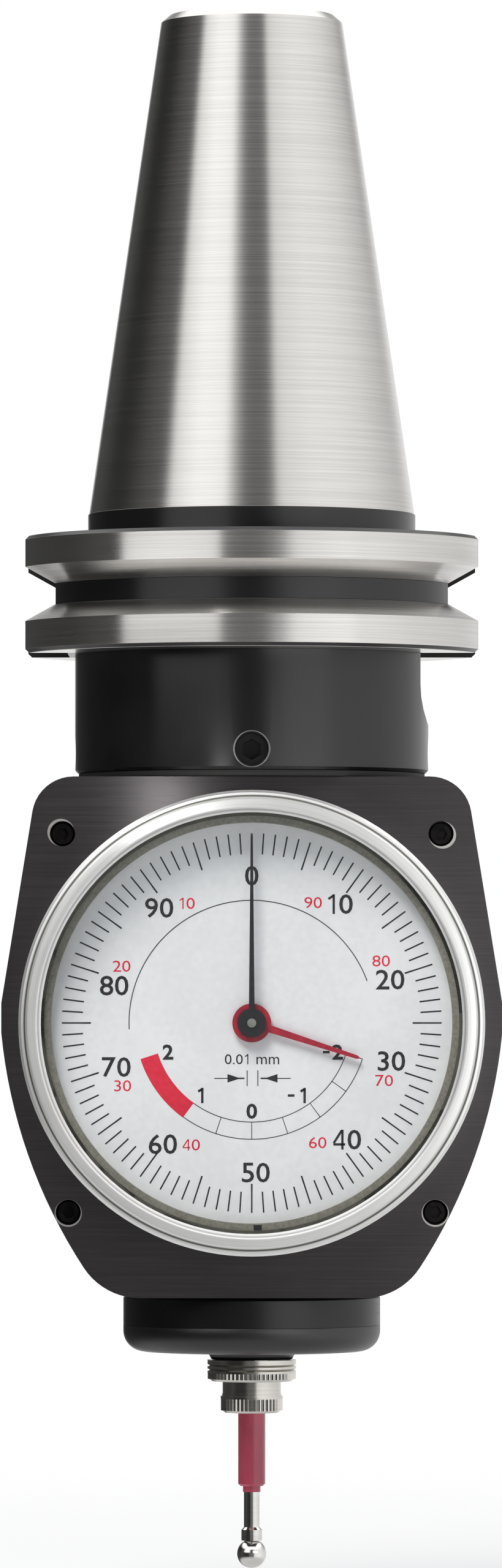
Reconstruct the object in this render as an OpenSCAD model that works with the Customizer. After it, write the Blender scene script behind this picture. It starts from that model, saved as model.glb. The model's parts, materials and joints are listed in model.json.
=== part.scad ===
// Dial positioning indicator on a steep-taper shank.
// The origin is the middle of the taper's gauge circle, Z points to the drawbar end and -Y to the viewer.
// Lengths are in millimetres and angles in degrees.

/* [Taper shank] */
// Gauge diameter of the 7/24 taper
gauge_diameter = 44.45; // [44.3:0.05:44.6]
// Length from the gauge circle to the small end
taper_length = 68.4; // [66:0.2:70]
// Plain band between the gauge circle and the flange
band_length = 3.2; // [3:0.1:3.4]
// Thickness of the gripper flange
flange_thickness = 15.9; // [15.7:0.1:16.1]
// Outer diameter of the gripper flange
flange_diameter = 63.5; // [63:0.25:64]
// Distance from the gauge circle to the middle of the gripper groove
groove_drop = 11.1; // [11:0.05:11.2]
// Width of the drive slots
slot_width = 16.1; // [16:0.1:16.3]
// Depth of the shallow drive slot
shallow_slot_depth = 6.75; // [6.55:0.1:6.95]
// Depth of the deep drive slot
deep_slot_depth = 8.85; // [8.65:0.1:9.05]
// Diameter of the neck under the flange
neck_diameter = 48.2; // [48:0.1:48.6]
// Length of the neck under the flange
neck_length = 16.2; // [16:0.1:16.4]

/* [Housing] */
// Visible joint between the neck and the housing
neck_joint = 0.9; // [0.8:0.1:1.1]
// Housing above the bezel
top_margin = 2; // [1.8:0.1:2.2]
// Housing below the bezel
low_margin = 5.8; // [5.6:0.1:6]
// Housing beside the bezel at its widest
side_margin = 2.5; // [2.3:0.1:2.7]
// Thickness of the front frame
frame_thickness = 5; // [4.8:0.1:5.2]
// Wall between the carriage bore and the front frame
front_wall = 2.5; // [2.4:0.1:2.7]
// Wall behind the carriage bore
rear_wall = 8; // [7:0.5:9]

/* [Bezel and dial] */
// Outer diameter of the bezel
bezel_diameter = 62.2; // [62:0.1:62.4]
// Height of the bezel's lip over the front face
bezel_height = 9; // [8.9:0.1:9.2]
// Width of the bezel's lip
lip_width = 3; // [2.9:0.05:3.1]
// Width of the ring between dial and crystal
spacer_width = 1.55; // [1.35:0.1:1.75]
// Crystal thickness
crystal_thickness = 1.7; // [1.5:0.1:1.8]
// Gap from the long pointer's tip to the ring round the dial
long_tip_gap = 1.4; // [1.2:0.1:1.8]
// Gap from the short pointer's tip to the ring round the dial
short_tip_gap = 11.5; // [11.2:0.1:11.8]
// Angle of the short pointer at rest, below the horizontal
short_pointer_rest = 18; // [0:18:36]

/* [Gear train] */
// Teeth of the pinion on the rack
rack_pinion_teeth = 16; // [16:1:16]
// Teeth of the two large wheels
wheel_teeth = 100; // [100:1:100]
// Teeth of the centre pinion
centre_teeth = 10; // [10:1:10]
// Tooth spacing of the rack
rack_pitch = 0.625; // [0.62:0.005:0.63]

/* [Probe] */
// Axial travel of the probe
plunge_travel = 4; // [3.6:0.2:4]
// Bore for the sliding carriage
carriage_bore = 24; // [23.8:0.1:24.2]
// Width of the boot ring outside the carriage bore
boot_margin = 5.5; // [5.3:0.1:5.7]
// Height of the boot ring
boot_ring_height = 4.2; // [4.1:0.1:4.3]
// Height of the rubber boot
boot_height = 3.6; // [3.5:0.1:3.7]
// Height of the stylus pivot above the housing's lower face
pivot_lift = 6.2; // [6.1:0.1:6.3]
// Visible length of the red stem
stem_length = 10; // [9.6:0.2:10.4]
// Diameter of the red stem
stem_diameter = 3.7; // [3.6:0.1:3.8]
// Length of the steel pin between the stem and its collar
pin_length = 4.8; // [4.6:0.1:5]
// Diameter of the steel pin
pin_diameter = 2.15; // [2.1:0.05:2.2]
// Diameter of the stylus ball
ball_diameter = 4; // [3.9:0.1:4.1]

/* [Hidden] */

// clearances and overruns
run = 0.05;
gap = 0.3;
past = 1;
slip = 0.02;
faces = 96;
coil_sides = 6;
coil_steps = 16;

// taper shank
taper_share = 7 / 24;
taper_small_r = (gauge_diameter - taper_length * taper_share) / 2;
end_chamfer = 1;
band_step = 0.12;
band_r = gauge_diameter / 2 + band_step;
flange_r = flange_diameter / 2;
flange_top = -band_length;
flange_bottom = -band_length - flange_thickness;
rim_chamfer = 0.5;
groove_depth = 3.95;
groove_floor_r = flange_r - groove_depth;
groove_floor_half = 1.4;
groove_angle = 30;
groove_half = groove_floor_half + groove_depth * tan(groove_angle);
shallow_floor = flange_r - shallow_slot_depth;
deep_floor = flange_r - deep_slot_depth;
neck_r = neck_diameter / 2;
neck_chamfer = 0.4;
neck_z = flange_bottom - neck_length;
slot_run_out = 4.3;
slot_cutter_r = 13;
slot_exit_angle = 240;
slot_exit_steps = 8;
socket_depth = 13.8;
socket_floor = neck_z + socket_depth;
spigot_r = 15;
spigot_ease = 0.4;
web_thickness = 11.5;
web_top = socket_floor + web_thickness;
mouth_share = 34 / 49;
core_share = 28 / 49;
mouth_r = taper_small_r * mouth_share;
core_r = taper_small_r * core_share;
core_length = 32;
head_bore_step = 0.25;
head_bore_r = core_r - head_bore_step;
mouth_depth = 5;
mouth_chamfer = 1;
set_hole_r = 2.2;
set_mouth_r = 2.55;
set_mouth_depth = 0.35;
set_lift = 2.7;
set_z = neck_z + set_lift;
set_screw_r = set_hole_r - run;
set_sink = 3.1;
set_screw_length = neck_r - spigot_r - set_sink;
set_socket_across = 2.5;
set_socket_depth = 2.5;
set_chamfer = 0.4;
clamp_share = 4 / 7;
clamp_r = core_r * clamp_share;
clamp_thread_r = clamp_r - run;
clamp_hole_ease = 0.5;
screw_hole_r = clamp_r + clamp_hole_ease;
clamp_head_ease = 0.25;
clamp_head_r = head_bore_r - clamp_head_ease;
clamp_head_height = 8;
clamp_length = 24;
clamp_socket_share = 6 / 13;
clamp_socket_across = clamp_head_r * 2 * clamp_socket_share;
clamp_socket_depth = 4;

// housing
bezel_r = bezel_diameter / 2;
top_z = neck_z - neck_joint;
top_h = bezel_r + top_margin;
dial_z = top_z - top_h;
housing_low = bezel_r + low_margin;
bottom_z = dial_z - housing_low;
half_width = bezel_r + side_margin;
side_lean = 9.17;
side_bulge = 0.43;
side_at_axis = half_width + side_bulge;
low_arc_share = 2.25;
low_arc_r = bezel_r * low_arc_share;
low_arc_bulge = 0.33;
low_arc_x = half_width - low_arc_r + low_arc_bulge;
arc_height_share = 0.1756;
low_arc_h = bezel_r * arc_height_share;
top_corner_r = 5.6;
low_corner_r = 9;
corner_steps = 10;
side_steps = 16;
gasket_thickness = 0.5;
body_front = -carriage_bore / 2 - front_wall;
parting = body_front - gasket_thickness;
face_y = parting - frame_thickness;
rear_y = carriage_bore / 2 + rear_wall;
corner_inset = 8.2;
low_corner_inset = 9;
corner_drop = 5.7;
corner_x = half_width - corner_inset;
corner_low_x = half_width - low_corner_inset;
corner_z = bezel_r - corner_drop;
skirt_width = 2.2;
rim_r = bezel_r - skirt_width;
rim_height = 2.2;
rim_front = face_y - rim_height;
rim_width = 3.3;
frame_bore_r = rim_r - rim_width;
ledge_depth = 1.8;
ledge_y = face_y + ledge_depth;
ledge_width = 2.8;
cavity_r = frame_bore_r - ledge_width;
corner_head_r = 1.55;
corner_head_height = 2;
corner_ease = 0.15;
corner_bore_r = corner_head_r + corner_ease;
corner_sink = 1;
corner_head_back = face_y + corner_sink + corner_head_height;
corner_shank_r = 1;
corner_hole_r = corner_shank_r + corner_ease;
corner_length = 8;
corner_socket_across = 1.5;
corner_socket_depth = 1;
corner_edge = 0.15;

// bezel and dial
lip_r = bezel_r - lip_width;
lip_front = face_y - bezel_height;
bezel_back = face_y - gap;
lip_seat = 0.3;
bezel_bore_r = lip_r + lip_seat;
skirt_bore_r = rim_r + run;
snap_back = rim_front - gap;
snap_thickness = 0.5;
snap_front = snap_back - snap_thickness;
snap_wall = 1.9;
snap_width = 1.8;
snap_outer_r = bezel_r - snap_wall;
snap_inner_r = snap_outer_r - snap_width;
snap_groove_r = snap_outer_r + run;
snap_opening = 5;
dial_thickness = 0.6;
dial_front = snap_front - dial_thickness;
dial_r = bezel_bore_r - run;
dial_hole_r = 1.8;
lip_thickness = 0.9;
crystal_front = lip_front + lip_thickness;
crystal_back = crystal_front + crystal_thickness;
crystal_r = dial_r;
seal_thickness = 0.4;
seal_width = 0.65;
seal_back = crystal_back + seal_thickness;
seal_inner_r = crystal_r - seal_width;
spacer_inner_r = dial_r - spacer_width;
long_pointer_length = spacer_inner_r - long_tip_gap;
short_pointer_length = spacer_inner_r - short_tip_gap;
key_size = 1.1;
key_x = 0.8;
key_inset = 0.85;
key_r = dial_r - key_inset;
wire_r = 0.4;
wire_groove_r = wire_r + run;
wire_drop = 1.2;
wire_y = face_y - wire_drop;
lip_slope = 0.7;
knurl_count = 150;
knurl_depth = 0.22;
knurl_relief = 0.04;
knurl_core_share = 1.5;
knurl_root_share = 0.9;
knurl_tip_share = 0.3;
knurl_start = 1.5;
knurl_width = 4.9;
knurl_back = face_y - knurl_start;
knurl_front = knurl_back - knurl_width;
step_width = 0.75;
step_height = 0.7;
bezel_step_r = bezel_r - step_width;
bezel_step_y = lip_front + step_height;
flat_inset = 1.2;
bezel_flat_r = bezel_r - flat_inset;
bezel_edge = 0.35;

// movement
plate_thickness = 1.6;
plate_back = ledge_y;
plate_front = plate_back - plate_thickness;
plate_ease = 0.1;
plate_r = frame_bore_r - plate_ease;
plate_distance = 8.9;
rear_plate_thickness = 1.5;
rear_plate_front = plate_back + plate_distance;
rear_plate_back = rear_plate_front + rear_plate_thickness;
cavity_room = 1.6;
cavity_back = rear_plate_back + cavity_room;
rear_plate_ease = 0.6;
rear_plate_r = cavity_r - rear_plate_ease;
pillar_r = 1.5;
pillar_inset = 2.7;
pillar_circle = rear_plate_r - pillar_inset;
pillar_angles = [20, 130, 200, 310];
pillar_hole_depth = 2.4;
pillar_screw_r = 0.6;
pillar_screw_length = 2.7;
pillar_head_r = 1.2;
pillar_head_height = 0.7;
screw_slot_width = 0.35;
screw_slot_depth = 0.3;
plate_screw_r = 0.6;
plate_screw_head_r = 1;
plate_screw_head_height = 0.7;
plate_screw_length = 2.4;
plate_screw_hole = 1.8;
plate_screw_inset = 1.3;
plate_screw_circle = plate_r - plate_screw_inset;
plate_screw_angles = [0, 120, 240];
module_share = 2 / 255;
wheel_module = plate_r * module_share;
train_distance = wheel_module * (wheel_teeth + centre_teeth) / 2;
train_angle = 59.4;
rack_x0 = -train_distance * cos(train_angle);
rack_z0 = -train_distance * sin(train_angle);
rack_module = rack_pitch / PI;
rack_pinion_r = rack_module * rack_pinion_teeth / 2;
rack_line_x = rack_x0 + rack_pinion_r;
addendum_share = 0.9;
dedendum_share = 1.15;
root_share = 0.54;
tip_share = 0.2;
arbor_r = 0.6;
pivot_r = 0.4;
pivot_run = 0.03;
pinion_room = 4.6;
pinion_width = 3.2;
pinion_front = plate_back + pinion_room;
pinion_back = pinion_front + pinion_width;
wheel_room = 2;
wheel_width = 0.5;
wheel_front = plate_back + wheel_room;
wheel_back = wheel_front + wheel_width;
wheel_pitch_r = wheel_module * wheel_teeth / 2;
hub_share = 0.16;
window_share = 0.24;
window_circle_share = 0.56;
wheel_hub_r = wheel_pitch_r * hub_share;
wheel_hub_side = 0.6;
wheel_hub_front = wheel_front - wheel_hub_side;
wheel_hub_back = wheel_back + wheel_hub_side;
wheel_window_r = wheel_pitch_r * window_share;
wheel_window_circle = wheel_pitch_r * window_circle_share;
wheel_windows = 5;
centre_pinion_room = 1.2;
centre_pinion_width = 2;
centre_pinion_front = plate_back + centre_pinion_room;
centre_pinion_back = centre_pinion_front + centre_pinion_width;
motion_teeth_small = 12;
motion_teeth_counter = 36;
motion_teeth_sweep = 40;
counter_distance = 4.8;
counter_angle = 150;
counter_module = 2 * counter_distance / (motion_teeth_small + motion_teeth_counter);
sweep_module = 2 * counter_distance / (motion_teeth_small + motion_teeth_sweep);
motion_room = 0.5;
motion_width = 0.8;
motion_ease = 0.1;
motion_pinion_back = plate_front - motion_room;
motion_pinion_front = motion_pinion_back - motion_width;
counter_back = motion_pinion_back - motion_ease;
counter_front = motion_pinion_front + motion_ease;
sweep_width = 0.5;
sweep_back = motion_pinion_front - gap;
sweep_front = sweep_back - sweep_width;
counter_pinion_front = sweep_front - 2 * motion_ease;
pipe_r = 1.1;
pipe_bore_r = arbor_r + run;
pipe_step = 0.15;
pipe_back = sweep_back + pipe_step;
stud_r = 0.45;
stud_head_r = 0.8;
stud_room = 0.6;
stud_front = counter_pinion_front - stud_room;
pointer_thickness = 0.3;
short_room = 0.6;
short_back = dial_front - short_room;
short_hub_r = 2.6;
short_root_width = 1.1;
short_tip_width = 0.5;
long_room = 0.5;
long_back = short_back - pointer_thickness - long_room;
long_hub_r = 1.95;
long_root_width = 0.8;
long_tip_width = 0.3;
cap_r = 0.35;
cap_length = 0.6;
arbor_tip = long_back - pointer_thickness - cap_length;
hair_inner_r = 1.1;
hair_outer_r = 6;
hair_turns = 5;
hair_thickness = 0.12;
hair_room = 5.6;
hair_width = 0.5;
hair_front = plate_back + hair_room;
hair_back = hair_front + hair_width;
hair_steps = 24;
stud_post_r = 0.5;

// probe
pivot_z = bottom_z + pivot_lift;
carriage_r = carriage_bore / 2 - run;
carriage_wall = 2.55;
carriage_inner_r = carriage_r - carriage_wall;
carriage_rise = 1.1;
carriage_low = bottom_z + carriage_rise;
roof_lift = 7;
roof_thickness = 2.6;
carriage_roof = pivot_z + roof_lift;
carriage_high = carriage_roof + roof_thickness;
bore_room = 0.2;
bore_top = carriage_high + plunge_travel + bore_room;
vent_r = 1.2;
vent_inset = 2;
vent_circle = carriage_inner_r - vent_inset;
vent_count = 4;
boss_r = 1.3;
boss_lift = 1.4;
boss_low = pivot_z + boss_lift;
thrust_r = 2;
pin_out_r = 0.9;
ring_room = 0.7;
ring_width = 2;
ring_outer_r = carriage_inner_r - ring_room;
ring_inner_r = ring_outer_r - ring_width;
ring_half = 2.3;
pin_inset = 0.5;
ring_pin_inner = ring_inner_r + pin_inset;
hub_room = 0.8;
carrier_hub_r = ring_inner_r - hub_room;
carrier_pin_depth = 1.7;
carrier_pin_inner = carrier_hub_r - carrier_pin_depth;
carrier_rise = 2.7;
carrier_top = pivot_z + carrier_rise;
hub_drop = 4;
hub_low = pivot_z - hub_drop;
stem_step = 0.9;
carrier_stem_r = carrier_hub_r - stem_step;
cup_mouth_r = 2.4;
stud_share = 0.6;
stud_thread_r = carrier_stem_r * stud_share;
base_stud_share = 0.3;
base_stud_r = carrier_stem_r * base_stud_share;
centring_wire_r = 0.35;
centring_mean_r = 3.6;
centring_turns = 3.5;
collar_room = 1;
collar_height = 4;
collar_low = bore_top + collar_room;
collar_high = collar_low + collar_height;
collar_r = 4.6;
chamber_r = collar_r + 2 * gap;
chamber_room = 2.7;
chamber_top = collar_high + plunge_travel + chamber_room;
rod_r = 2.5;
rod_sink = 0.8;
rod_bottom = carriage_roof + rod_sink;
bush_r = 4;
bush_length = 12.5;
bush_top = chamber_top + bush_length;
rod_reach = 2;
rod_top = bush_top + rod_reach;
return_wire_r = 0.3;
return_mean_r = 2.3;
return_turns = 8;
return_length = 14;
top_chamber_end = rod_top + return_length;
top_chamber_ease = 0.6;
top_chamber_r = return_mean_r + return_wire_r + top_chamber_ease;
spring_seat_r = 1.4;
spring_seat_height = 2;
arm_near = 1.5;
arm_width = 2.1;
arm_right = -arm_near;
arm_left = arm_right - arm_width;
window_left = arm_left - gap;
window_right = arm_right + gap;
window_low = bore_top + gap;
window_room = 0.8;
window_high = collar_high + plunge_travel + window_room;
rack_ease = 0.4;
rack_front = pinion_front + rack_ease;
rack_back = pinion_back - rack_ease;
rack_rise = 4.6;
rack_high = collar_high + rack_rise;
bracket_screw_r = 0.8;
bracket_socket_across = 0.8;
bracket_screw_z = (collar_low + collar_high) / 2;
stop_ring_high = carriage_low - run;
stop_ease = 0.5;
stop_inner_r = carriage_inner_r + stop_ease;
stop_slot_width = 1.6;
stop_slot_depth = 0.5;
boot_r = carriage_bore / 2 + boot_margin;
boot_ring_low = bottom_z - boot_ring_height;
ring_bore_ease = 0.9;
boot_ring_inner_r = carriage_bore / 2 + ring_bore_ease;
boot_ring_edge = 0.5;
boot_screw_r = 0.8;
boot_head_r = 1.5;
boot_head_height = 1.2;
boot_socket_across = 1.6;
boot_screw_inset = 2;
boot_screw_circle = boot_ring_inner_r + boot_screw_inset;
boot_screw_count = 4;
boot_screw_turn = 45;
boot_screw_length = 5;
boot_low = boot_ring_low - boot_height;
boot_corner_r = 2.8;
boot_wall = 1.6;
boot_skin = 0.8;
boot_steps = 8;
boot_neck_flare = 1.1;
boot_neck_foot = 0.5;
boot_neck_top_r = carrier_stem_r + boot_neck_flare;
boot_neck_low_r = carrier_stem_r + boot_neck_foot;
boot_neck_length = 1.15;
boot_lip_low = boot_low - boot_neck_length;
boot_inner_lip_r = carrier_stem_r + slip;
carrier_low = boot_lip_low - run;
seat_flange = 1.05;
seat_height = 2.9;
seat_r = carrier_stem_r + seat_flange;
seat_top = carrier_low;
seat_low = seat_top - seat_height;
seat_groove_depth = 0.3;
seat_groove_half = 0.15;
seat_groove_start = 0.75;
seat_groove_pitch = 0.6;
seat_groove_1 = seat_top - seat_groove_start;
seat_groove_2 = seat_groove_1 - seat_groove_pitch;
seat_band = 1.8;
seat_knurl_top = seat_top - seat_band;
seat_knurls = 60;
small_knurl_depth = 0.18;
small_chamfer = 0.3;
middle_wall = 0.98;
middle_height = 1.7;
seat_middle_r = stud_thread_r + middle_wall;
seat_middle_low = seat_low - middle_height;
base_step = 0.27;
base_height = 2.6;
base_band = 0.7;
base_groove_depth = 0.2;
base_r = seat_middle_r + base_step;
base_low = seat_middle_low - base_height;
base_knurl_top = seat_middle_low - base_band;
base_knurls = 44;
base_groove_r = base_r - base_groove_depth;
base_stud_length = 7.3;
base_stud_top = seat_middle_low + base_stud_length;
stem_seat_depth = 1.4;
stem_r = stem_diameter / 2;
stem_low = base_low - stem_length;
stem_neck_wall = 0.125;
stem_neck_length = 0.8;
pin_r = pin_diameter / 2;
stem_neck_r = pin_r + stem_neck_wall;
stem_neck_low = stem_low - stem_neck_length;
pin_depth = 6.4;
pin_top = stem_low + pin_depth;
pin_low = stem_neck_low - pin_length;
collar_pin_step = 0.345;
collar_pin_length = 1.8;
collar_taper = 0.35;
collar_pin_r = pin_r + collar_pin_step;
collar_pin_low = pin_low - collar_pin_length;
ball_seat_share = 0.9;
ball_r = ball_diameter / 2;
ball_z = collar_pin_low - ball_r * ball_seat_share;

// shapes along Z and along Y
module rod(low, high, radius) {
  translate([0, 0, low]) cylinder(h = high - low, r = radius, $fn = faces);
}
module disc(back, front, radius) {
  translate([0, back, 0]) rotate([90, 0, 0]) cylinder(h = back - front, r = radius, $fn = faces);
}
module plate(back, front) {
  translate([0, back, 0]) rotate([90, 0, 0]) linear_extrude(height = back - front) children();
}
module on_dial(x = 0, z = 0) {
  translate([x, 0, dial_z + z]) children();
}
module turned(back) {
  translate([0, back, 0]) rotate([90, 0, 0]) rotate_extrude($fn = faces) children();
}
module hexagon_hole(across, depth) {
  cylinder(h = depth, d = across / cos(30), $fn = 6);
}
module around(count, radius) {
  for (i = [0 : count - 1]) rotate([0, 0, i * 360 / count]) translate([radius, 0, 0]) children();
}
function toothed(teeth, inner, outer, root, tip) = [
  for (i = [0 : teeth - 1], k = [0 : 3])
    let (share = [-root, -tip, tip, root][k] / 2, r = [inner, outer, outer, inner][k])
    r * direction((i + share) * 360 / teeth)];
module gear(teeth, size, angle) {
  pitch = teeth * size / 2;
  rotate([0, 0, angle])
    polygon(toothed(teeth, pitch - dedendum_share * size, pitch + addendum_share * size,
      root_share, tip_share));
}
module knurl(count, radius, depth) {
  polygon(toothed(count, radius - depth, radius, knurl_root_share, knurl_tip_share));
}

// housing outline seen from the front, heights counted from the dial axis
function direction(angle) = [cos(angle), sin(angle)];
function arc(x, z, r, from, to, steps) = [
  for (i = [0 : steps]) [x, z] + r * direction(from + (to - from) * i / steps)];
function mirrored(points) = [for (i = [len(points) - 1 : -1 : 0]) [-points[i][0], points[i][1]]];
top_corner_h = top_h - top_corner_r;
top_corner_x = side_at_axis - tan(side_lean) * top_corner_h - top_corner_r / cos(side_lean);
low_corner_h = low_corner_r - housing_low;
low_corner_x = low_arc_x + sqrt(pow(low_arc_r - low_corner_r, 2) - pow(low_corner_h - low_arc_h, 2));
low_meet = atan2(low_corner_h - low_arc_h, low_corner_x - low_arc_x);
low_start = -acos((half_width - low_arc_x) / low_arc_r);
right_side = concat(
  arc(top_corner_x, top_corner_h, top_corner_r, 90, side_lean, corner_steps),
  [[half_width, (side_at_axis - half_width) / tan(side_lean)]],
  arc(low_arc_x, low_arc_h, low_arc_r, low_start, low_meet, side_steps),
  arc(low_corner_x, low_corner_h, low_corner_r, low_meet, -90, corner_steps));
module outline() {
  polygon(concat(right_side, mirrored(right_side)));
}
module at_corners() {
  for (side = [-1, 1]) {
    on_dial(side * corner_x, corner_z) children();
    on_dial(side * corner_low_x, -corner_z) children();
  }
}
module at_plate_screws() {
  for (a = plate_screw_angles) on_dial(plate_screw_circle * cos(a), plate_screw_circle * sin(a)) children();
}
module at_pillars() {
  for (a = pillar_angles) on_dial(pillar_circle * cos(a), pillar_circle * sin(a)) children();
}
module at_boot_screws() {
  rotate([0, 0, boot_screw_turn]) around(boot_screw_count, boot_screw_circle) children();
}
module at_radial_screws() {
  for (a = [0 : 90 : 270]) rotate([0, 0, a]) translate([0, 0, set_z]) rotate([0, 90, 0]) children();
}
module at_rack_arbor() {
  on_dial(rack_x0, rack_z0) children();
}
module at_take_up() {
  on_dial(-rack_x0, -rack_z0) children();
}
module at_counter() {
  on_dial(counter_distance * cos(counter_angle), counter_distance * sin(counter_angle)) children();
}

// steel taper, gripper flange and neck in one piece
module taper_shank() {
  taper_chamfer_r = taper_small_r + end_chamfer * taper_share / 2;
  mouth_grow = (set_mouth_r - set_hole_r) * (set_mouth_depth + past) / set_mouth_depth;
  color("silver") difference() {
    rotate_extrude($fn = faces) polygon([
      [mouth_r + mouth_chamfer, taper_length], [taper_small_r - end_chamfer, taper_length],
      [taper_chamfer_r, taper_length - end_chamfer], [gauge_diameter / 2, 0], [band_r, 0],
      [band_r, flange_top], [flange_r - rim_chamfer, flange_top], [flange_r, flange_top - rim_chamfer],
      [flange_r, groove_half - groove_drop], [groove_floor_r, groove_floor_half - groove_drop],
      [groove_floor_r, -groove_floor_half - groove_drop], [flange_r, -groove_half - groove_drop],
      [flange_r, flange_bottom + rim_chamfer], [flange_r - rim_chamfer, flange_bottom],
      [neck_r, flange_bottom],
      [neck_r, neck_z + neck_chamfer], [neck_r - neck_chamfer, neck_z], [spigot_r + spigot_ease, neck_z],
      [spigot_r + spigot_ease, socket_floor], [screw_hole_r, socket_floor], [screw_hole_r, web_top],
      [head_bore_r, web_top], [head_bore_r, taper_length - mouth_depth - core_length],
      [core_r, taper_length - mouth_depth - core_length], [core_r, taper_length - mouth_depth],
      [mouth_r, taper_length - mouth_depth],
      [mouth_r, taper_length - mouth_chamfer]]);
    translate([-flange_r - past, -slot_width / 2, flange_bottom - past])
      cube([flange_r + past - shallow_floor, slot_width, flange_thickness + 2 * past]);
    plate(slot_width / 2, -slot_width / 2) polygon(concat(
      [[flange_r + past, flange_top + past], [deep_floor, flange_top + past]],
      arc(deep_floor + slot_cutter_r, flange_bottom - slot_run_out, slot_cutter_r, 180, slot_exit_angle,
        slot_exit_steps),
      [[flange_r + past, flange_bottom - slot_run_out]]));
    for (a = [0, 90]) translate([0, 0, set_z]) rotate([0, 90, a]) rotate_extrude($fn = faces) polygon([
      [0, -neck_r - past], [set_hole_r + mouth_grow, -neck_r - past],
      [set_hole_r, set_mouth_depth - neck_r], [set_hole_r, neck_r - set_mouth_depth],
      [set_hole_r + mouth_grow, neck_r + past], [0, neck_r + past]]);
  }
}

// four set screws that centre the housing in the shank
module centring_screws() {
  color("dimgray") at_radial_screws() translate([0, 0, spigot_r]) difference() {
    union() {
      cylinder(h = set_chamfer, r1 = set_screw_r - set_chamfer, r2 = set_screw_r, $fn = faces);
      translate([0, 0, set_chamfer])
        cylinder(h = set_screw_length - set_chamfer, r = set_screw_r, $fn = faces);
    }
    translate([0, 0, set_screw_length - set_socket_depth])
      hexagon_hole(set_socket_across, set_socket_depth + past);
  }
}

// socket-head screw that pulls the housing up into the shank
module clamp_screw() {
  color("dimgray") difference() {
    union() {
      rod(web_top, web_top + clamp_head_height, clamp_head_r);
      rod(web_top - clamp_length, web_top + past, clamp_thread_r);
    }
    translate([0, 0, web_top + clamp_head_height - clamp_socket_depth])
      hexagon_hole(clamp_socket_across, clamp_socket_depth + past);
  }
}

// main block with the spigot, the movement's hollow and the probe's bores
module housing_body() {
  color([0.25, 0.25, 0.26]) difference() {
    union() {
      on_dial() plate(rear_y, body_front) outline();
      rod(top_z, socket_floor, spigot_r);
    }
    on_dial() disc(cavity_back, body_front - past, cavity_r);
    rod(bottom_z - past, bore_top, carriage_bore / 2);
    rod(bore_top - past, chamber_top, chamber_r);
    rod(chamber_top - past, bush_top, bush_r);
    rod(bush_top - past, top_chamber_end, top_chamber_r);
    translate([window_left, cavity_back - past, window_low])
      cube([window_right - window_left, past - cavity_back, window_high - window_low]);
    rod(web_top - clamp_length - past, socket_floor + past, clamp_r);
    at_corners() disc(corner_head_back + corner_length, body_front - past, corner_shank_r);
    at_boot_screws() rod(bottom_z - past, bottom_z + boot_screw_length + past, boot_screw_r);
  }
}

// front frame that carries the bezel and the movement
module front_frame() {
  color([0.25, 0.25, 0.26]) difference() {
    union() {
      on_dial() plate(parting, face_y) outline();
      on_dial() disc(face_y + past, rim_front, rim_r);
    }
    on_dial() disc(ledge_y, rim_front - past, frame_bore_r);
    on_dial() disc(parting + past, ledge_y - past, cavity_r);
    at_corners() disc(corner_head_back, face_y - past, corner_bore_r);
    at_corners() disc(parting + past, face_y, corner_hole_r);
    at_plate_screws() disc(ledge_y + plate_screw_hole, ledge_y - past, plate_screw_r);
    on_dial() turned(wire_y) translate([rim_r + run / 2, 0]) circle(r = wire_groove_r, $fn = faces);
  }
}

// thin gasket between frame and block
module frame_gasket() {
  color([0.1, 0.1, 0.1]) difference() {
    on_dial() plate(body_front, parting) outline();
    on_dial() disc(body_front + past, parting - past, cavity_r);
    at_corners() disc(body_front + past, parting - past, corner_hole_r);
  }
}

// four recessed socket screws of the front frame
module corner_screws() {
  color("dimgray") at_corners() difference() {
    union() {
      disc(corner_head_back, face_y + corner_sink + corner_edge, corner_head_r);
      translate([0, face_y + corner_sink + corner_edge, 0]) rotate([90, 0, 0])
        cylinder(h = corner_edge, r1 = corner_head_r, r2 = corner_head_r - corner_edge, $fn = faces);
      disc(corner_head_back + corner_length, corner_head_back - past, corner_shank_r);
    }
    translate([0, face_y + corner_sink + corner_socket_depth, 0]) rotate([90, 0, 0])
      hexagon_hole(corner_socket_across, corner_socket_depth + past);
  }
}

// knurled bezel with stepped lip
module bezel_ring() {
  band_core_r = bezel_r - knurl_core_share * knurl_depth;
  color("silver") on_dial() difference() {
    union() {
      turned(0) polygon([
        [rim_r - run, -bezel_back], [bezel_r - bezel_edge, -bezel_back], [bezel_r, -bezel_back + bezel_edge],
        [bezel_r, -knurl_back], [band_core_r, -knurl_back], [band_core_r, -knurl_front],
        [bezel_r, -knurl_front], [bezel_r, -bezel_step_y - bezel_edge], [bezel_r - bezel_edge, -bezel_step_y],
        [bezel_step_r, -bezel_step_y], [bezel_flat_r, -lip_front], [lip_r + lip_slope, -lip_front],
        [lip_r, -crystal_front], [lip_r - run, -crystal_front], [lip_r - run, -bezel_back]]);
      plate(knurl_back, knurl_front) difference() {
        knurl(knurl_count, bezel_r - knurl_relief, knurl_depth);
        circle(r = bezel_r - 2 * knurl_depth, $fn = faces);
      }
    }
    disc(bezel_back + past, crystal_front, bezel_bore_r);
    disc(bezel_back + past, snap_back, skirt_bore_r);
    disc(snap_back, snap_front, snap_groove_r);
    turned(wire_y) translate([rim_r + run / 2, 0]) circle(r = wire_groove_r, $fn = faces);
  }
}

// flat crystal
module crystal() {
  color([0.8, 0.9, 0.95, 0.3]) on_dial() disc(crystal_back, crystal_front, crystal_r);
}

// sealing ring behind the crystal
module crystal_gasket() {
  color([0.15, 0.14, 0.1]) on_dial() difference() {
    disc(seal_back, crystal_back, crystal_r);
    disc(seal_back + past, crystal_back - past, seal_inner_r);
  }
}

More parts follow.
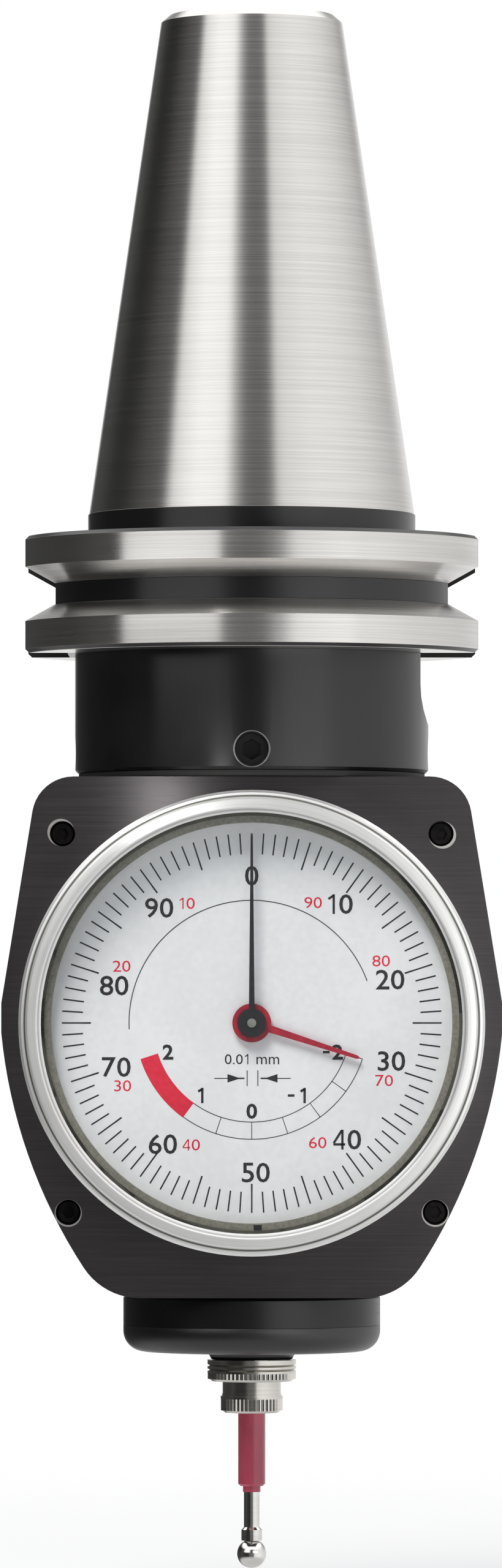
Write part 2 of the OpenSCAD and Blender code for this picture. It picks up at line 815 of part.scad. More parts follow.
// ring that keeps dial and crystal apart, notched for the key
module dial_spacer() {
  color([0.42, 0.4, 0.32]) on_dial() difference() {
    disc(dial_front, seal_back, dial_r);
    disc(dial_front + past, seal_back - past, spacer_inner_r);
    translate([key_x - key_size / 2, dial_front + past - bezel_height, -key_r - key_size / 2])
      cube([key_size, bezel_height, key_size]);
  }
}

// square key that holds spacer and dial in line
module dial_key() {
  color([0.1, 0.1, 0.1]) on_dial()
    translate([key_x - key_size / 2 + slip, seal_back, -key_r - key_size / 2 + slip])
      cube([key_size - 2 * slip, snap_front - seal_back, key_size - 2 * slip]);
}

// dial plate, notched for the key
module dial_face() {
  color("white") on_dial() difference() {
    disc(snap_front, dial_front, dial_r);
    disc(snap_front + past, dial_front - past, dial_hole_r);
    translate([key_x - key_size / 2, dial_front - past, -key_r - key_size / 2])
      cube([key_size, dial_thickness + 2 * past, key_size]);
  }
}

// open snap ring behind the dial
module dial_snap_ring() {
  color("gray") on_dial() difference() {
    disc(snap_back - slip, snap_front, snap_outer_r);
    disc(snap_back + past, snap_front - past, snap_inner_r);
    translate([-snap_opening / 2, snap_front - past, 0])
      cube([snap_opening, snap_thickness + 2 * past, bezel_r]);
  }
}

// wire ring that keeps the bezel on the rim
module bezel_wire() {
  color("gray") on_dial() difference() {
    turned(wire_y) translate([rim_r + run / 2, 0]) circle(r = wire_r, $fn = faces);
    translate([-snap_opening / 2, wire_y - past, 0]) cube([snap_opening, 2 * past, bezel_r]);
  }
}

// front plate of the movement
module movement_front_plate() {
  color("goldenrod") difference() {
    on_dial() disc(plate_back, plate_front, plate_r);
    on_dial() disc(plate_back + past, plate_front - past, arbor_r + pivot_run);
    at_rack_arbor() disc(plate_back + past, plate_front - past, pivot_r + pivot_run);
    at_take_up() disc(plate_back + past, plate_front - past, pivot_r + pivot_run);
    at_counter() disc(plate_back + past, plate_front - past, stud_r);
    at_plate_screws() disc(plate_back + past, plate_front - past, plate_screw_r + run);
  }
}

// rear plate of the movement, slotted for the rack's arm and cut off above the carriage
module movement_rear_plate() {
  notch_half = rear_plate_r + past;
  notch_low = dial_z - rear_plate_r - past;
  color("goldenrod") difference() {
    on_dial() disc(rear_plate_back, rear_plate_front, rear_plate_r);
    on_dial() disc(rear_plate_back + past, rear_plate_front - past, pivot_r + pivot_run);
    at_rack_arbor() disc(rear_plate_back + past, rear_plate_front - past, pivot_r + pivot_run);
    at_take_up() disc(rear_plate_back + past, rear_plate_front - past, pivot_r + pivot_run);
    at_pillars() disc(rear_plate_back + past, rear_plate_front - past, pillar_screw_r + run);
    plate(rear_plate_back + past, rear_plate_front - past) polygon([
      [window_left, window_high], [window_right, window_high], [window_right, window_low],
      [notch_half, window_low], [notch_half, notch_low], [-notch_half, notch_low], [-notch_half, window_low],
      [window_left, window_low]]);
  }
}

// four distance pillars
module movement_pillars() {
  color("goldenrod") at_pillars() difference() {
    disc(rear_plate_front, plate_back, pillar_r);
    disc(rear_plate_front + past, rear_plate_front - pillar_hole_depth, pillar_screw_r);
  }
}

// slotted cheese-head screw pointing forward, its head behind
module slotted_screw(seat, length, shank, head, height, ahead) {
  difference() {
    union() {
      if (ahead) {
        disc(seat, seat - height, head);
        disc(seat + length, seat - slip, shank);
      } else {
        disc(seat + height, seat, head);
        disc(seat + slip, seat - length, shank);
      }
    }
    translate([-head - past, ahead ? seat - height - past : seat + height - screw_slot_depth,
      -screw_slot_width / 2])
      cube([2 * head + 2 * past, screw_slot_depth + past, screw_slot_width]);
  }
}
module pillar_screws() {
  color("silver") at_pillars()
    slotted_screw(rear_plate_back, pillar_screw_length, pillar_screw_r - slip, pillar_head_r,
      pillar_head_height, false);
}
module plate_screws() {
  color("silver") at_plate_screws()
    slotted_screw(plate_front, plate_screw_length, plate_screw_r - slip, plate_screw_head_r,
      plate_screw_head_height, true);
}

// arbor with the pinion that the rack turns
module rack_arbor() {
  color("silver") at_rack_arbor() {
    disc(rear_plate_front - gap, plate_back + gap, arbor_r);
    disc(rear_plate_back, plate_front, pivot_r);
    plate(pinion_back, pinion_front) gear(rack_pinion_teeth, rack_module, 0);
  }
}

// toothed wheel with round windows and a hub
module train_wheel(angle) {
  difference() {
    union() {
      plate(wheel_back, wheel_front) gear(wheel_teeth, wheel_module, angle);
      disc(wheel_hub_back, wheel_hub_front, wheel_hub_r);
    }
    rotate([90, 0, 0]) around(wheel_windows, wheel_window_circle)
      rod(-wheel_back - past, past - wheel_front, wheel_window_r);
    disc(wheel_hub_back + past, wheel_hub_front - past, arbor_r);
  }
}
module rack_wheel() {
  color("goldenrod") at_rack_arbor() train_wheel(train_angle);
}

// centre arbor with its two pinions
module centre_arbor() {
  color("silver") on_dial() {
    disc(rear_plate_front - gap, arbor_tip + gap, arbor_r);
    disc(rear_plate_back, rear_plate_front - past, pivot_r);
    disc(arbor_tip + past, arbor_tip, cap_r);
    plate(centre_pinion_back, centre_pinion_front)
      gear(centre_teeth, wheel_module, train_angle + 180 + 180 / centre_teeth);
    plate(motion_pinion_back, motion_pinion_front)
      gear(motion_teeth_small, counter_module, counter_angle);
  }
}

// long pointer with its round boss, pointing up
module pointer(back, hub, length, root, tip, hole) {
  difference() {
    plate(back, back - pointer_thickness) union() {
      circle(r = hub, $fn = faces);
      polygon([[0, -root / 2], [length - tip, -tip / 2], [length, 0], [length - tip, tip / 2],
        [0, root / 2]]);
    }
    disc(back + past, back - pointer_thickness - past, hole);
  }
}
module long_pointer() {
  color([0.1, 0.1, 0.1]) on_dial() rotate([0, -90, 0])
    pointer(long_back, long_hub_r, long_pointer_length, long_root_width, long_tip_width, arbor_r);
}

// fixed stud of the counter wheel
module counter_stud() {
  color("silver") at_counter() {
    disc(plate_back, stud_front + slip, stud_r);
    disc(stud_front + gap, stud_front, stud_head_r);
  }
}

// counter wheel with its pinion
module counter_wheel() {
  color("goldenrod") at_counter() difference() {
    union() {
      plate(counter_back, counter_front)
        gear(motion_teeth_counter, counter_module, counter_angle + 180 + 180 / motion_teeth_counter);
      plate(counter_front + slip, counter_pinion_front)
        gear(motion_teeth_small, sweep_module, counter_angle + 180);
    }
    disc(counter_back + past, counter_pinion_front - past, stud_r + run);
  }
}

// wheel and pipe of the short pointer
module sweep_wheel() {
  color("goldenrod") on_dial() difference() {
    union() {
      plate(sweep_back, sweep_front)
        gear(motion_teeth_sweep, sweep_module, counter_angle + 180 / motion_teeth_sweep);
      disc(pipe_back, short_back - pointer_thickness, pipe_r);
    }
    disc(pipe_back + past, short_back - pointer_thickness - past, pipe_bore_r);
  }
}
module short_pointer() {
  color([0.75, 0.05, 0.1]) on_dial() rotate([0, short_pointer_rest, 0])
    pointer(short_back, short_hub_r, short_pointer_length, short_root_width, short_tip_width, pipe_r);
}

// take-up wheel on its own arbor
module take_up_wheel() {
  color("goldenrod") at_take_up() {
    train_wheel(train_angle + 180);
    disc(rear_plate_front - gap, plate_back + gap, arbor_r);
    disc(rear_plate_back, plate_front, pivot_r);
    disc(hair_back + gap, hair_front - gap, hair_inner_r - slip);
  }
}

// flat spiral spring that keeps the teeth in contact
module hairspring() {
  steps = hair_turns * hair_steps;
  growth = (hair_outer_r - hair_inner_r) / steps;
  inner = [for (i = [0 : steps]) (hair_inner_r + growth * i) * direction(i * 360 / hair_steps)];
  outer = [for (i = [steps : -1 : 0])
    (hair_inner_r + hair_thickness + growth * i) * direction(i * 360 / hair_steps)];
  color("steelblue") at_take_up() plate(hair_back, hair_front) polygon(concat(inner, outer));
}
module hairspring_stud() {
  color("silver") at_take_up() translate([hair_outer_r + hair_thickness + stud_post_r, 0, 0])
    disc(rear_plate_front, hair_front - gap, stud_post_r);
}

// round rod between carriage and guide bush
module plunger_rod() {
  color("silver") {
    rod(rod_bottom, rod_top, rod_r);
    rod(rod_top - past, rod_top + spring_seat_height, spring_seat_r);
  }
}

// rack with its arm and the collar on the rod
module rack_bar() {
  rack_root_x = rack_line_x + dedendum_share * rack_module;
  rack_tip_x = rack_line_x - addendum_share * rack_module;
  mesh_z = dial_z + rack_z0;
  rack_teeth_down = floor((mesh_z - collar_low) / rack_pitch);
  rack_teeth_up = floor((rack_high - mesh_z) / rack_pitch);
  color("silver") difference() {
    union() {
      rod(collar_low, collar_high, collar_r);
      translate([arm_left, rack_back - slip, collar_low])
        cube([arm_right - arm_left, slip - rack_back, collar_high - collar_low]);
      plate(rack_back, rack_front) polygon(concat(
        [[arm_right, rack_high], [arm_right, collar_low], [rack_root_x, collar_low]],
        [for (i = [-rack_teeth_down : rack_teeth_up - 1], k = [0 : 3])
          let (share = [-root_share, -tip_share, tip_share, root_share][k] / 2)
            [k == 0 || k == 3 ? rack_root_x : rack_tip_x, mesh_z + (i + 0.5 + share) * rack_pitch]],
        [[rack_root_x, rack_high]]));
    }
    rod(collar_low - past, collar_high + past, rod_r);
    translate([0, 0, bracket_screw_z]) rotate([-90, 0, 0]) rod(0, collar_r + past, bracket_screw_r);
  }
}
module bracket_screw() {
  color("dimgray") difference() {
    translate([0, 0, bracket_screw_z]) rotate([-90, 0, 0])
      rod(rod_r, collar_r - slip, bracket_screw_r - slip);
    translate([0, collar_r - slip + past, bracket_screw_z]) rotate([90, 0, 0])
      hexagon_hole(bracket_socket_across, bracket_screw_r + past);
  }
}

// bronze guide bush of the rod
module guide_bush() {
  color("darkgoldenrod") difference() {
    rod(chamber_top, bush_top, bush_r);
    rod(chamber_top - past, bush_top + past, rod_r + run);
  }
}

// round wire wound about Z as one unbroken tube
module coil(low, high, mean, wire, turns) {
  steps = ceil(turns * coil_steps);
  points = [for (i = [0 : steps], k = [0 : coil_sides - 1])
    let (a = i * turns * 360 / steps, b = k * 360 / coil_sides, r = mean + wire * cos(b))
      [r * cos(a), r * sin(a), low + wire + (high - low - 2 * wire) * i / steps + wire * sin(b)]];
  sides = [for (i = [0 : steps - 1], k = [0 : coil_sides - 1], half = [0, 1])
    let (n = (k + 1) % coil_sides, p = i * coil_sides, q = p + coil_sides)
      half == 0 ? [p + k, p + n, q + n] : [p + k, q + n, q + k]];
  ends = [for (k = [1 : coil_sides - 2], end = [0, 1])
    let (p = end * steps * coil_sides) end == 0 ? [p, p + k + 1, p + k] : [p, p + k, p + k + 1]];
  polyhedron(points = points, faces = concat(sides, ends));
}
module return_spring() {
  color("silver") coil(rod_top + slip, top_chamber_end - slip, return_mean_r, return_wire_r, return_turns);
}

// sliding carriage with the thrust boss and the holes of the ring's pins
module carriage() {
  color("gray") difference() {
    union() {
      difference() {
        rod(carriage_low, carriage_high, carriage_r);
        rod(carriage_low - past, carriage_roof, carriage_inner_r);
      }
      rod(boss_low, carriage_roof + past, boss_r);
    }
    rod(rod_bottom, carriage_high + past, rod_r);
    translate([0, 0, pivot_z]) sphere(r = thrust_r, $fn = faces);
    translate([0, 0, pivot_z]) rotate([0, 90, 0]) rod(-carriage_bore / 2, carriage_bore / 2, pin_out_r);
    rotate([0, 0, 180 / vent_count]) around(vent_count, vent_circle)
      rod(carriage_roof - past, carriage_high + past, vent_r);
  }
}
module thrust_ball() {
  color("silver") translate([0, 0, pivot_z]) sphere(r = thrust_r, $fn = faces);
}

// pins of the ring along X, held in the carriage
module ring_pins() {
  color("silver") for (side = [0, 180])
    translate([0, 0, pivot_z]) rotate([0, 90, side]) rod(ring_pin_inner, carriage_r - gap, pin_out_r);
}
module gimbal_ring() {
  color("gray") difference() {
    rod(pivot_z - ring_half, pivot_z + ring_half, ring_outer_r);
    rod(pivot_z - ring_half - past, pivot_z + ring_half + past, ring_inner_r);
    translate([0, 0, pivot_z]) rotate([0, 90, 0]) rod(-carriage_r, carriage_r, pin_out_r + pivot_run);
    translate([0, 0, pivot_z]) rotate([90, 0, 0]) rod(-carriage_r, carriage_r, pin_out_r);
  }
}

// pins of the stylus carrier along Y, held in the ring
module carrier_pins() {
  color("silver") for (side = [90, 270])
    translate([0, 0, pivot_z]) rotate([0, 90, side]) rod(carrier_pin_inner, ring_outer_r - slip, pin_out_r);
}

// carrier with the cup for the thrust ball above and the threaded stud below
module stylus_carrier() {
  color("gray") difference() {
    union() {
      rod(hub_low, carrier_top, carrier_hub_r);
      rod(carrier_low, hub_low + past, carrier_stem_r);
      rod(seat_low + slip, carrier_low + past, stud_thread_r);
    }
    translate([0, 0, pivot_z]) sphere(r = thrust_r + slip, $fn = faces);
    rod(pivot_z, carrier_top + past, cup_mouth_r);
    for (side = [90, 270]) translate([0, 0, pivot_z]) rotate([0, 90, side])
      rod(carrier_pin_inner - gap, carrier_hub_r + past, pin_out_r + pivot_run);
    rod(seat_low - past, base_stud_top + gap, base_stud_r);
  }
}
module centring_spring() {
  color("silver")
    coil(carrier_top + slip, carriage_roof - slip, centring_mean_r, centring_wire_r, centring_turns);
}

// slotted ring that the carriage rests on
module stop_ring() {
  color("dimgray") difference() {
    rod(bottom_z, stop_ring_high, carriage_bore / 2);
    rod(bottom_z - past, stop_ring_high + past, stop_inner_r);
    rotate([0, 0, 45]) translate([-carriage_bore / 2 - past, -stop_slot_width / 2, bottom_z - past])
      cube([carriage_bore + 2 * past, stop_slot_width, past + stop_slot_depth]);
  }
}

// ring that holds the boot under the housing
module boot_ring() {
  color([0.12, 0.12, 0.12]) difference() {
    rotate_extrude($fn = faces) polygon([
      [boot_ring_inner_r, boot_ring_low], [boot_r, boot_ring_low], [boot_r, bottom_z - boot_ring_edge],
      [boot_r - boot_ring_edge, bottom_z], [boot_ring_inner_r, bottom_z]]);
    at_boot_screws() rod(boot_ring_low - past, bottom_z + past, boot_screw_r);
    at_boot_screws() rod(boot_ring_low - past, boot_ring_low + boot_head_height + gap, boot_head_r + run);
  }
}
module boot_screws() {
  color("dimgray") at_boot_screws() difference() {
    union() {
      rod(boot_ring_low + gap, boot_ring_low + gap + boot_head_height, boot_head_r);
      rod(boot_ring_low + gap + slip, bottom_z + boot_screw_length, boot_screw_r - slip);
    }
    translate([0, 0, boot_ring_low - past])
      hexagon_hole(boot_socket_across, past + gap + boot_head_height / 2);
  }
}

// hollow rubber boot with a collar inside the ring and a lip on the carrier
module rubber_boot() {
  color([0.12, 0.12, 0.12]) rotate_extrude($fn = faces) polygon(concat(
    [[boot_r, boot_ring_low]],
    arc(boot_r - boot_corner_r, boot_low + boot_corner_r, boot_corner_r, 0, -90, boot_steps),
    [[boot_neck_top_r, boot_low], [boot_neck_low_r, boot_lip_low], [boot_inner_lip_r, boot_lip_low],
      [boot_inner_lip_r, boot_low + boot_skin]],
    arc(boot_r - boot_corner_r, boot_low + boot_corner_r, boot_corner_r - boot_skin, -90, 0, boot_steps),
    [[boot_r - boot_skin, boot_ring_low - boot_skin],
      [boot_ring_inner_r - boot_wall, boot_ring_low - boot_skin],
      [boot_ring_inner_r - boot_wall, boot_ring_low + boot_wall],
      [boot_ring_inner_r - slip, boot_ring_low + boot_wall], [boot_ring_inner_r - slip, boot_ring_low]]));
}

// knurled seat under the boot
module stylus_seat() {
  knurl_low = seat_low + small_chamfer;
  inner_r = seat_r - seat_groove_depth;
  band_core_r = seat_r - knurl_core_share * small_knurl_depth;
  color("silver") difference() {
    union() {
      rotate_extrude($fn = faces) polygon([
        [stud_thread_r, seat_top], [seat_r, seat_top], [seat_r, seat_groove_1 + seat_groove_half],
        [inner_r, seat_groove_1], [seat_r, seat_groove_1 - seat_groove_half],
        [seat_r, seat_groove_2 + seat_groove_half], [inner_r, seat_groove_2],
        [seat_r, seat_groove_2 - seat_groove_half], [seat_r, seat_knurl_top],
        [band_core_r, seat_knurl_top], [band_core_r, knurl_low],
        [band_core_r - small_chamfer, seat_low], [seat_middle_r, seat_low],
        [seat_middle_r, seat_middle_low], [base_stud_r, seat_middle_low], [base_stud_r, seat_low],
        [stud_thread_r, seat_low]]);
      translate([0, 0, knurl_low]) linear_extrude(height = seat_knurl_top - knurl_low) difference() {
        knurl(seat_knurls, seat_r - knurl_relief, small_knurl_depth);
        circle(r = seat_r - 2 * small_knurl_depth, $fn = faces);
      }
    }
  }
}

// knurled foot of the exchangeable tip with its stud
module tip_base() {
  knurl_low = base_low + small_chamfer;
  band_core_r = base_r - knurl_core_share * small_knurl_depth;
  color("silver") difference() {
    union() {
      rotate_extrude($fn = faces) polygon([
        [0, seat_middle_low], [base_groove_r, seat_middle_low],
        [base_groove_r, seat_middle_low - small_chamfer], [base_r, seat_middle_low - small_chamfer],
        [base_r, base_knurl_top], [band_core_r, base_knurl_top],
        [band_core_r, knurl_low], [band_core_r - small_chamfer, base_low], [0, base_low]]);
      rod(seat_middle_low - past, base_stud_top, base_stud_r - slip);
      translate([0, 0, knurl_low]) linear_extrude(height = base_knurl_top - knurl_low) difference() {
        knurl(base_knurls, base_r - knurl_relief, small_knurl_depth);
        circle(r = base_r - 2 * small_knurl_depth, $fn = faces);
      }
    }
    rod(base_low - past, base_low + stem_seat_depth, stem_r);
  }
}

// red stem that breaks before the probe does
module stylus_stem() {
  color([0.7, 0.2, 0.3]) difference() {
    rotate_extrude($fn = faces) polygon([
      [0, base_low + stem_seat_depth], [stem_r, base_low + stem_seat_depth],
      [stem_r, stem_low + small_chamfer], [stem_r - small_chamfer, stem_low], [stem_neck_r, stem_low],
      [stem_neck_r, stem_neck_low], [0, stem_neck_low]]);
    rod(stem_neck_low - past, pin_top, pin_r);
  }
}
module stylus_pin() {
  color("silver") difference() {
    rotate_extrude($fn = faces) polygon([
      [0, pin_top], [pin_r, pin_top], [pin_r, pin_low], [collar_pin_r, pin_low - collar_taper],
      [collar_pin_r, collar_pin_low], [0, collar_pin_low]]);
    translate([0, 0, ball_z]) sphere(r = ball_r, $fn = faces);
  }
}
module stylus_ball() {
  color("silver") translate([0, 0, ball_z]) sphere(r = ball_r, $fn = faces);
}

taper_shank();
centring_screws();
clamp_screw();
housing_body();
front_frame();
frame_gasket();
corner_screws();
bezel_ring();
crystal();
crystal_gasket();
dial_spacer();
dial_key();
dial_face();
dial_snap_ring();
bezel_wire();
movement_front_plate();
movement_rear_plate();
movement_pillars();
pillar_screws();
plate_screws();
rack_arbor();
rack_wheel();
centre_arbor();
long_pointer();
counter_stud();
counter_wheel();
sweep_wheel();
short_pointer();
take_up_wheel();
hairspring();
hairspring_stud();
plunger_rod();
rack_bar();
bracket_screw();
guide_bush();
return_spring();
carriage();
thrust_ball();
ring_pins();
gimbal_ring();
carrier_pins();
stylus_carrier();
centring_spring();
stop_ring();
boot_ring();
boot_screws();
rubber_boot();
stylus_seat();
tip_base();
stylus_stem();
stylus_pin();
stylus_ball();
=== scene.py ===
# %% [markdown]
# # A dial positioning indicator in Blender
#
# The real thing is clamped in a milling spindle by its steep taper. Its ball touches the
# workpiece, and two pointers show how far the probe has moved. The exact shapes come from a
# CAD model, so Blender's work here is the finish of every metal, rubber and plastic piece,
# the printing on the dial, the soft boot and the springs.
#
# Blender opens with a cube, a lamp and a camera of its own, so these go first. Then the
# measured pieces are loaded.

# %% Load the measured model
import json
import math

import bmesh
import bpy
from mathutils import Matrix, Vector

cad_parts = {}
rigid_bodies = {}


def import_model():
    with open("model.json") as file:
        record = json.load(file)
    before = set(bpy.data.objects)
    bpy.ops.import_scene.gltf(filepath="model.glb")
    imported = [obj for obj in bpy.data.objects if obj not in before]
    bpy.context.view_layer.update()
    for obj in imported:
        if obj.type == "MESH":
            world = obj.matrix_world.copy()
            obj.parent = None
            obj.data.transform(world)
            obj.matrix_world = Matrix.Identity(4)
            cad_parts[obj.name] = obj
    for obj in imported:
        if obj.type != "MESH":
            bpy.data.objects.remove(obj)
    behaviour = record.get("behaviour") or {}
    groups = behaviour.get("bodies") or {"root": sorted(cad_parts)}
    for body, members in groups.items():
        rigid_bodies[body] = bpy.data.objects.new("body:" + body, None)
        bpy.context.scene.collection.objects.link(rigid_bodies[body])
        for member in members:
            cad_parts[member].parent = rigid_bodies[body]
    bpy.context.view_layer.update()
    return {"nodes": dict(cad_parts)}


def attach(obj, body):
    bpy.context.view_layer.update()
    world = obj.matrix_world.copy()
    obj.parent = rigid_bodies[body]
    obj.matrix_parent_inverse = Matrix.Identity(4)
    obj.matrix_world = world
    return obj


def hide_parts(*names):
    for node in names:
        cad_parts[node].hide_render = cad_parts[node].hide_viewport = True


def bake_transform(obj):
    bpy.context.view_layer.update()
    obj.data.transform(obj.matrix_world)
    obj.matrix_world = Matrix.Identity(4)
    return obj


for leftover in list(bpy.data.objects):
    bpy.data.objects.remove(leftover)
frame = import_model()
scene = bpy.context.scene
mm = 0.001


# %% [markdown]
# ## Places that the steps use
#
# The part stands upright, as in its photograph. Heights are in millimetres above the gauge
# circle of the taper, and the viewer stands on the -Y side. The dial turns about an axis that
# runs along Y, so every pattern and mark on the dial is counted from that axis. The other
# places are the dial's front, the underside of the ring that holds the boot, the joint
# between neck and housing, and the floor.

# %% Places on the part
dial_z, dial_front = -69.3, -23.6
ring_low = -110.4
joint_low, joint_high = -36.15, -35.35
floor_z = -150
print("dial axis at", dial_z, "mm, dial front", -dial_front, "mm before the part's axis")

# %% [markdown]
# ## Shader arithmetic in plain Python
#
# A finish is easier to read as a sum than as a drawing of boxes and wires. One small class
# holds a node's output socket, and the arithmetic signs add Math nodes behind it. The signs
# are also given in their reflected form, because Python tries the number first in `1 - mask`.
# Every other node comes from one method: its type, then its settings, then its inputs.

# %% The wire class
class Wire:
    """An output socket; Python arithmetic on it adds Math nodes."""

    def __init__(self, tree, socket=None):
        self.tree, self.socket = tree, socket

    def node(self, kind, settings=None, inputs=None, output=0):
        """A new node; inputs are values or wires, output is the socket that comes back."""
        made = self.tree.nodes.new(kind)
        for name, value in (settings or {}).items():
            if name == "stops":
                set_stops(made.color_ramp, value)
            else:
                setattr(made, name, value)
        for name, value in (inputs or {}).items():
            if isinstance(value, Wire):
                self.tree.links.new(value.socket, made.inputs[name])
            else:
                made.inputs[name].default_value = value
        return Wire(self.tree, made.outputs[output] if made.outputs else None)

    def twin(self, output):
        """Another output of the same node."""
        return Wire(self.tree, self.socket.node.outputs[output])

    def math(self, operation, other=0.0, swapped=False):
        pair = (other, self) if swapped else (self, other)
        return self.node("ShaderNodeMath", {"operation": operation}, dict(enumerate(pair)))

    def __add__(self, other):
        return self.math("ADD", other)

    def __sub__(self, other):
        return self.math("SUBTRACT", other)

    def __mul__(self, other):
        return self.math("MULTIPLY", other)

    def __truediv__(self, other):
        return self.math("DIVIDE", other)

    def __radd__(self, other):
        return self.math("ADD", other, True)

    def __rsub__(self, other):
        return self.math("SUBTRACT", other, True)

    def __rmul__(self, other):
        return self.math("MULTIPLY", other, True)

    def __rtruediv__(self, other):
        return self.math("DIVIDE", other, True)


def set_stops(ramp, stops):
    """The stops of a colour ramp, as pairs of position and colour."""
    while len(ramp.elements) > 1:
        ramp.elements.remove(ramp.elements[0])
    ramp.elements[0].position, ramp.elements[0].color = stops[0]
    for position, colour in stops[1:]:
        ramp.elements.new(position).color = colour


print("arithmetic ready:", [name for name in vars(Wire) if name.startswith("__r")])

# %% [markdown]
# ## Words for a finish
#
# The same few ideas come back in every finish: a colour as a painter's chart gives it, a soft
# step from 0 to 1, a mask that begins or ends at a measured place, two colours mixed by a
# mask, noise that is drawn out along the direction of the tool, and a bump made from it.
# Chart colours are written for a screen, and a shader wants them in linear light, so they
# are converted once here.

# %% Helpers for finishes
def chart(red, green, blue):
    """A colour read from a screen, 0 to 255, in linear light."""
    linear = [((c / 255 + 0.055) / 1.055) ** 2.4 if c > 10 else c / 255 / 12.92
              for c in (red, green, blue)]
    return (*linear, 1)


def step(value, low, high, start=0.0, end=1.0):
    """start below low, end above high, and a soft change between."""
    inputs = {"Value": value, "From Min": low, "From Max": high, "To Min": start, "To Max": end}
    return value.node("ShaderNodeMapRange", {"interpolation_type": "SMOOTHSTEP"}, inputs)


def beyond(value, edge, soft):
    """1 over an edge and 0 under it, both in mm, soft on either side of the edge."""
    return step(value, (edge - soft) * mm, (edge + soft) * mm)


def within(value, edge, soft, full=1.0):
    """The other way round: full under the edge and 0 over it."""
    return step(value, (edge - soft) * mm, (edge + soft) * mm, full, 0.0)


def mixed(mask, low, high):
    """The colour low where the mask is 0 and high where it is 1."""
    return mask.node("ShaderNodeMix", {"data_type": "RGBA"}, {0: mask, 6: low, 7: high}, 2)


def shaded(noise, dark, light):
    """Two shades of a colour spread by noise, which mostly lies between 0.3 and 0.7."""
    return mixed(step(noise, 0.3, 0.7), dark, light)


def grain(place, stretch, detail=2.0):
    """Noise with so many spots a metre along each axis."""
    drawn = place.node("ShaderNodeVectorMath", {"operation": "MULTIPLY"}, {0: place, 1: stretch})
    inputs = {"Vector": drawn, "Scale": 1.0, "Detail": detail}
    return drawn.node("ShaderNodeTexNoise", None, inputs)


def relief(height, strength, depth):
    """Light and shade of a surface as uneven as height, depth in mm."""
    inputs = {"Height": height, "Strength": strength, "Distance": depth * mm}
    return height.node("ShaderNodeBump", None, inputs)


def parts(place):
    """The x, y and z of a place."""
    split = place.node("ShaderNodeSeparateXYZ", None, {0: place})
    return split, split.twin(1), split.twin(2)


def from_axis(across, along):
    """Distance from an axis, from the two coordinates that lie across it."""
    return (across * across + along * along).math("SQRT")


print("black on the chart is", [round(value, 4) for value in chart(28, 27, 28)])

# %% [markdown]
# ## Starting and closing a finish
#
# Each finish starts from Object coordinates. All pieces have their origin at the frame's
# origin, so these coordinates are millimetre-true places on the part: a mask can say "above
# the gauge circle" or "this far from the dial axis". No image is needed, and the pattern
# stays put when the part moves. A Principled BSDF closes the finish.

# %% Start and close
finishes = {}


def start_finish(name):
    """A new material, and the place on the part that its patterns start from."""
    material = bpy.data.materials.new(name)
    material.use_nodes = True
    material.node_tree.nodes.clear()
    finishes[name] = material
    return Wire(material.node_tree).node("ShaderNodeTexCoord", None, None, "Object")


def close_finish(place, inputs):
    """A Principled BSDF with these inputs, joined to the material's output."""
    shader = place.node("ShaderNodeBsdfPrincipled", None, inputs)
    place.node("ShaderNodeOutputMaterial", None, {"Surface": shader})


print("finish workshop open")

# %% [markdown]
# ## Camera
#
# Long straight edges of the photograph stay nearly parallel, so it was taken with a long lens
# from more than a metre away. The rows in which the flange's circles look flat give the height
# of the lens. It looks up by a degree and a half, without any shift.

# %% Camera
camera_data = bpy.data.cameras.new("camera")
camera_data.sensor_fit = "VERTICAL"
camera_data.sensor_height = 36
camera_data.lens = 201.4
camera = bpy.data.objects.new("camera", camera_data)
camera.location = (-0.0001, -1.1977, -0.06765)
camera.rotation_euler = (math.radians(90 + 1.48), 0, 0)
scene.collection.objects.link(camera)
scene.camera = camera
print("lens", camera_data.lens, "mm at", round(-camera.location.y, 3), "m")

# %% [markdown]
# ## Studio: what the metal sees
#
# Polished metal has hardly any colour of its own. What the eye reads as metal is the room in
# it: bright panels, dark gaps and the sharp edges between them. A studio puts tall panels
# beside the camera for that. Here the world is the studio. The direction of a ray is turned
# into an angle round the part, and a ramp over that angle gives panels and gaps, one ramp for
# rays near the horizon and one for rays that climb, with a soft box overhead and the pale
# floor below. The camera sees plain white. Dull surfaces get an even light that doesn't know
# of the panels and is a touch cool, as the shade on the dial is. Only shiny rays ever meet a
# panel, so the world isn't sampled like a lamp, which would add noise and no light.

# %% The world
def panels(levels):
    """Ramp stops from pairs of angle in degrees and brightness, full_ramp at most."""
    return [((angle + 180) / 360, (level / full_ramp,) * 3 + (1,)) for angle, level in levels]


def between(low, high, share):
    """From low to high as the share goes from 0 to 1."""
    return low + (high - low) * share


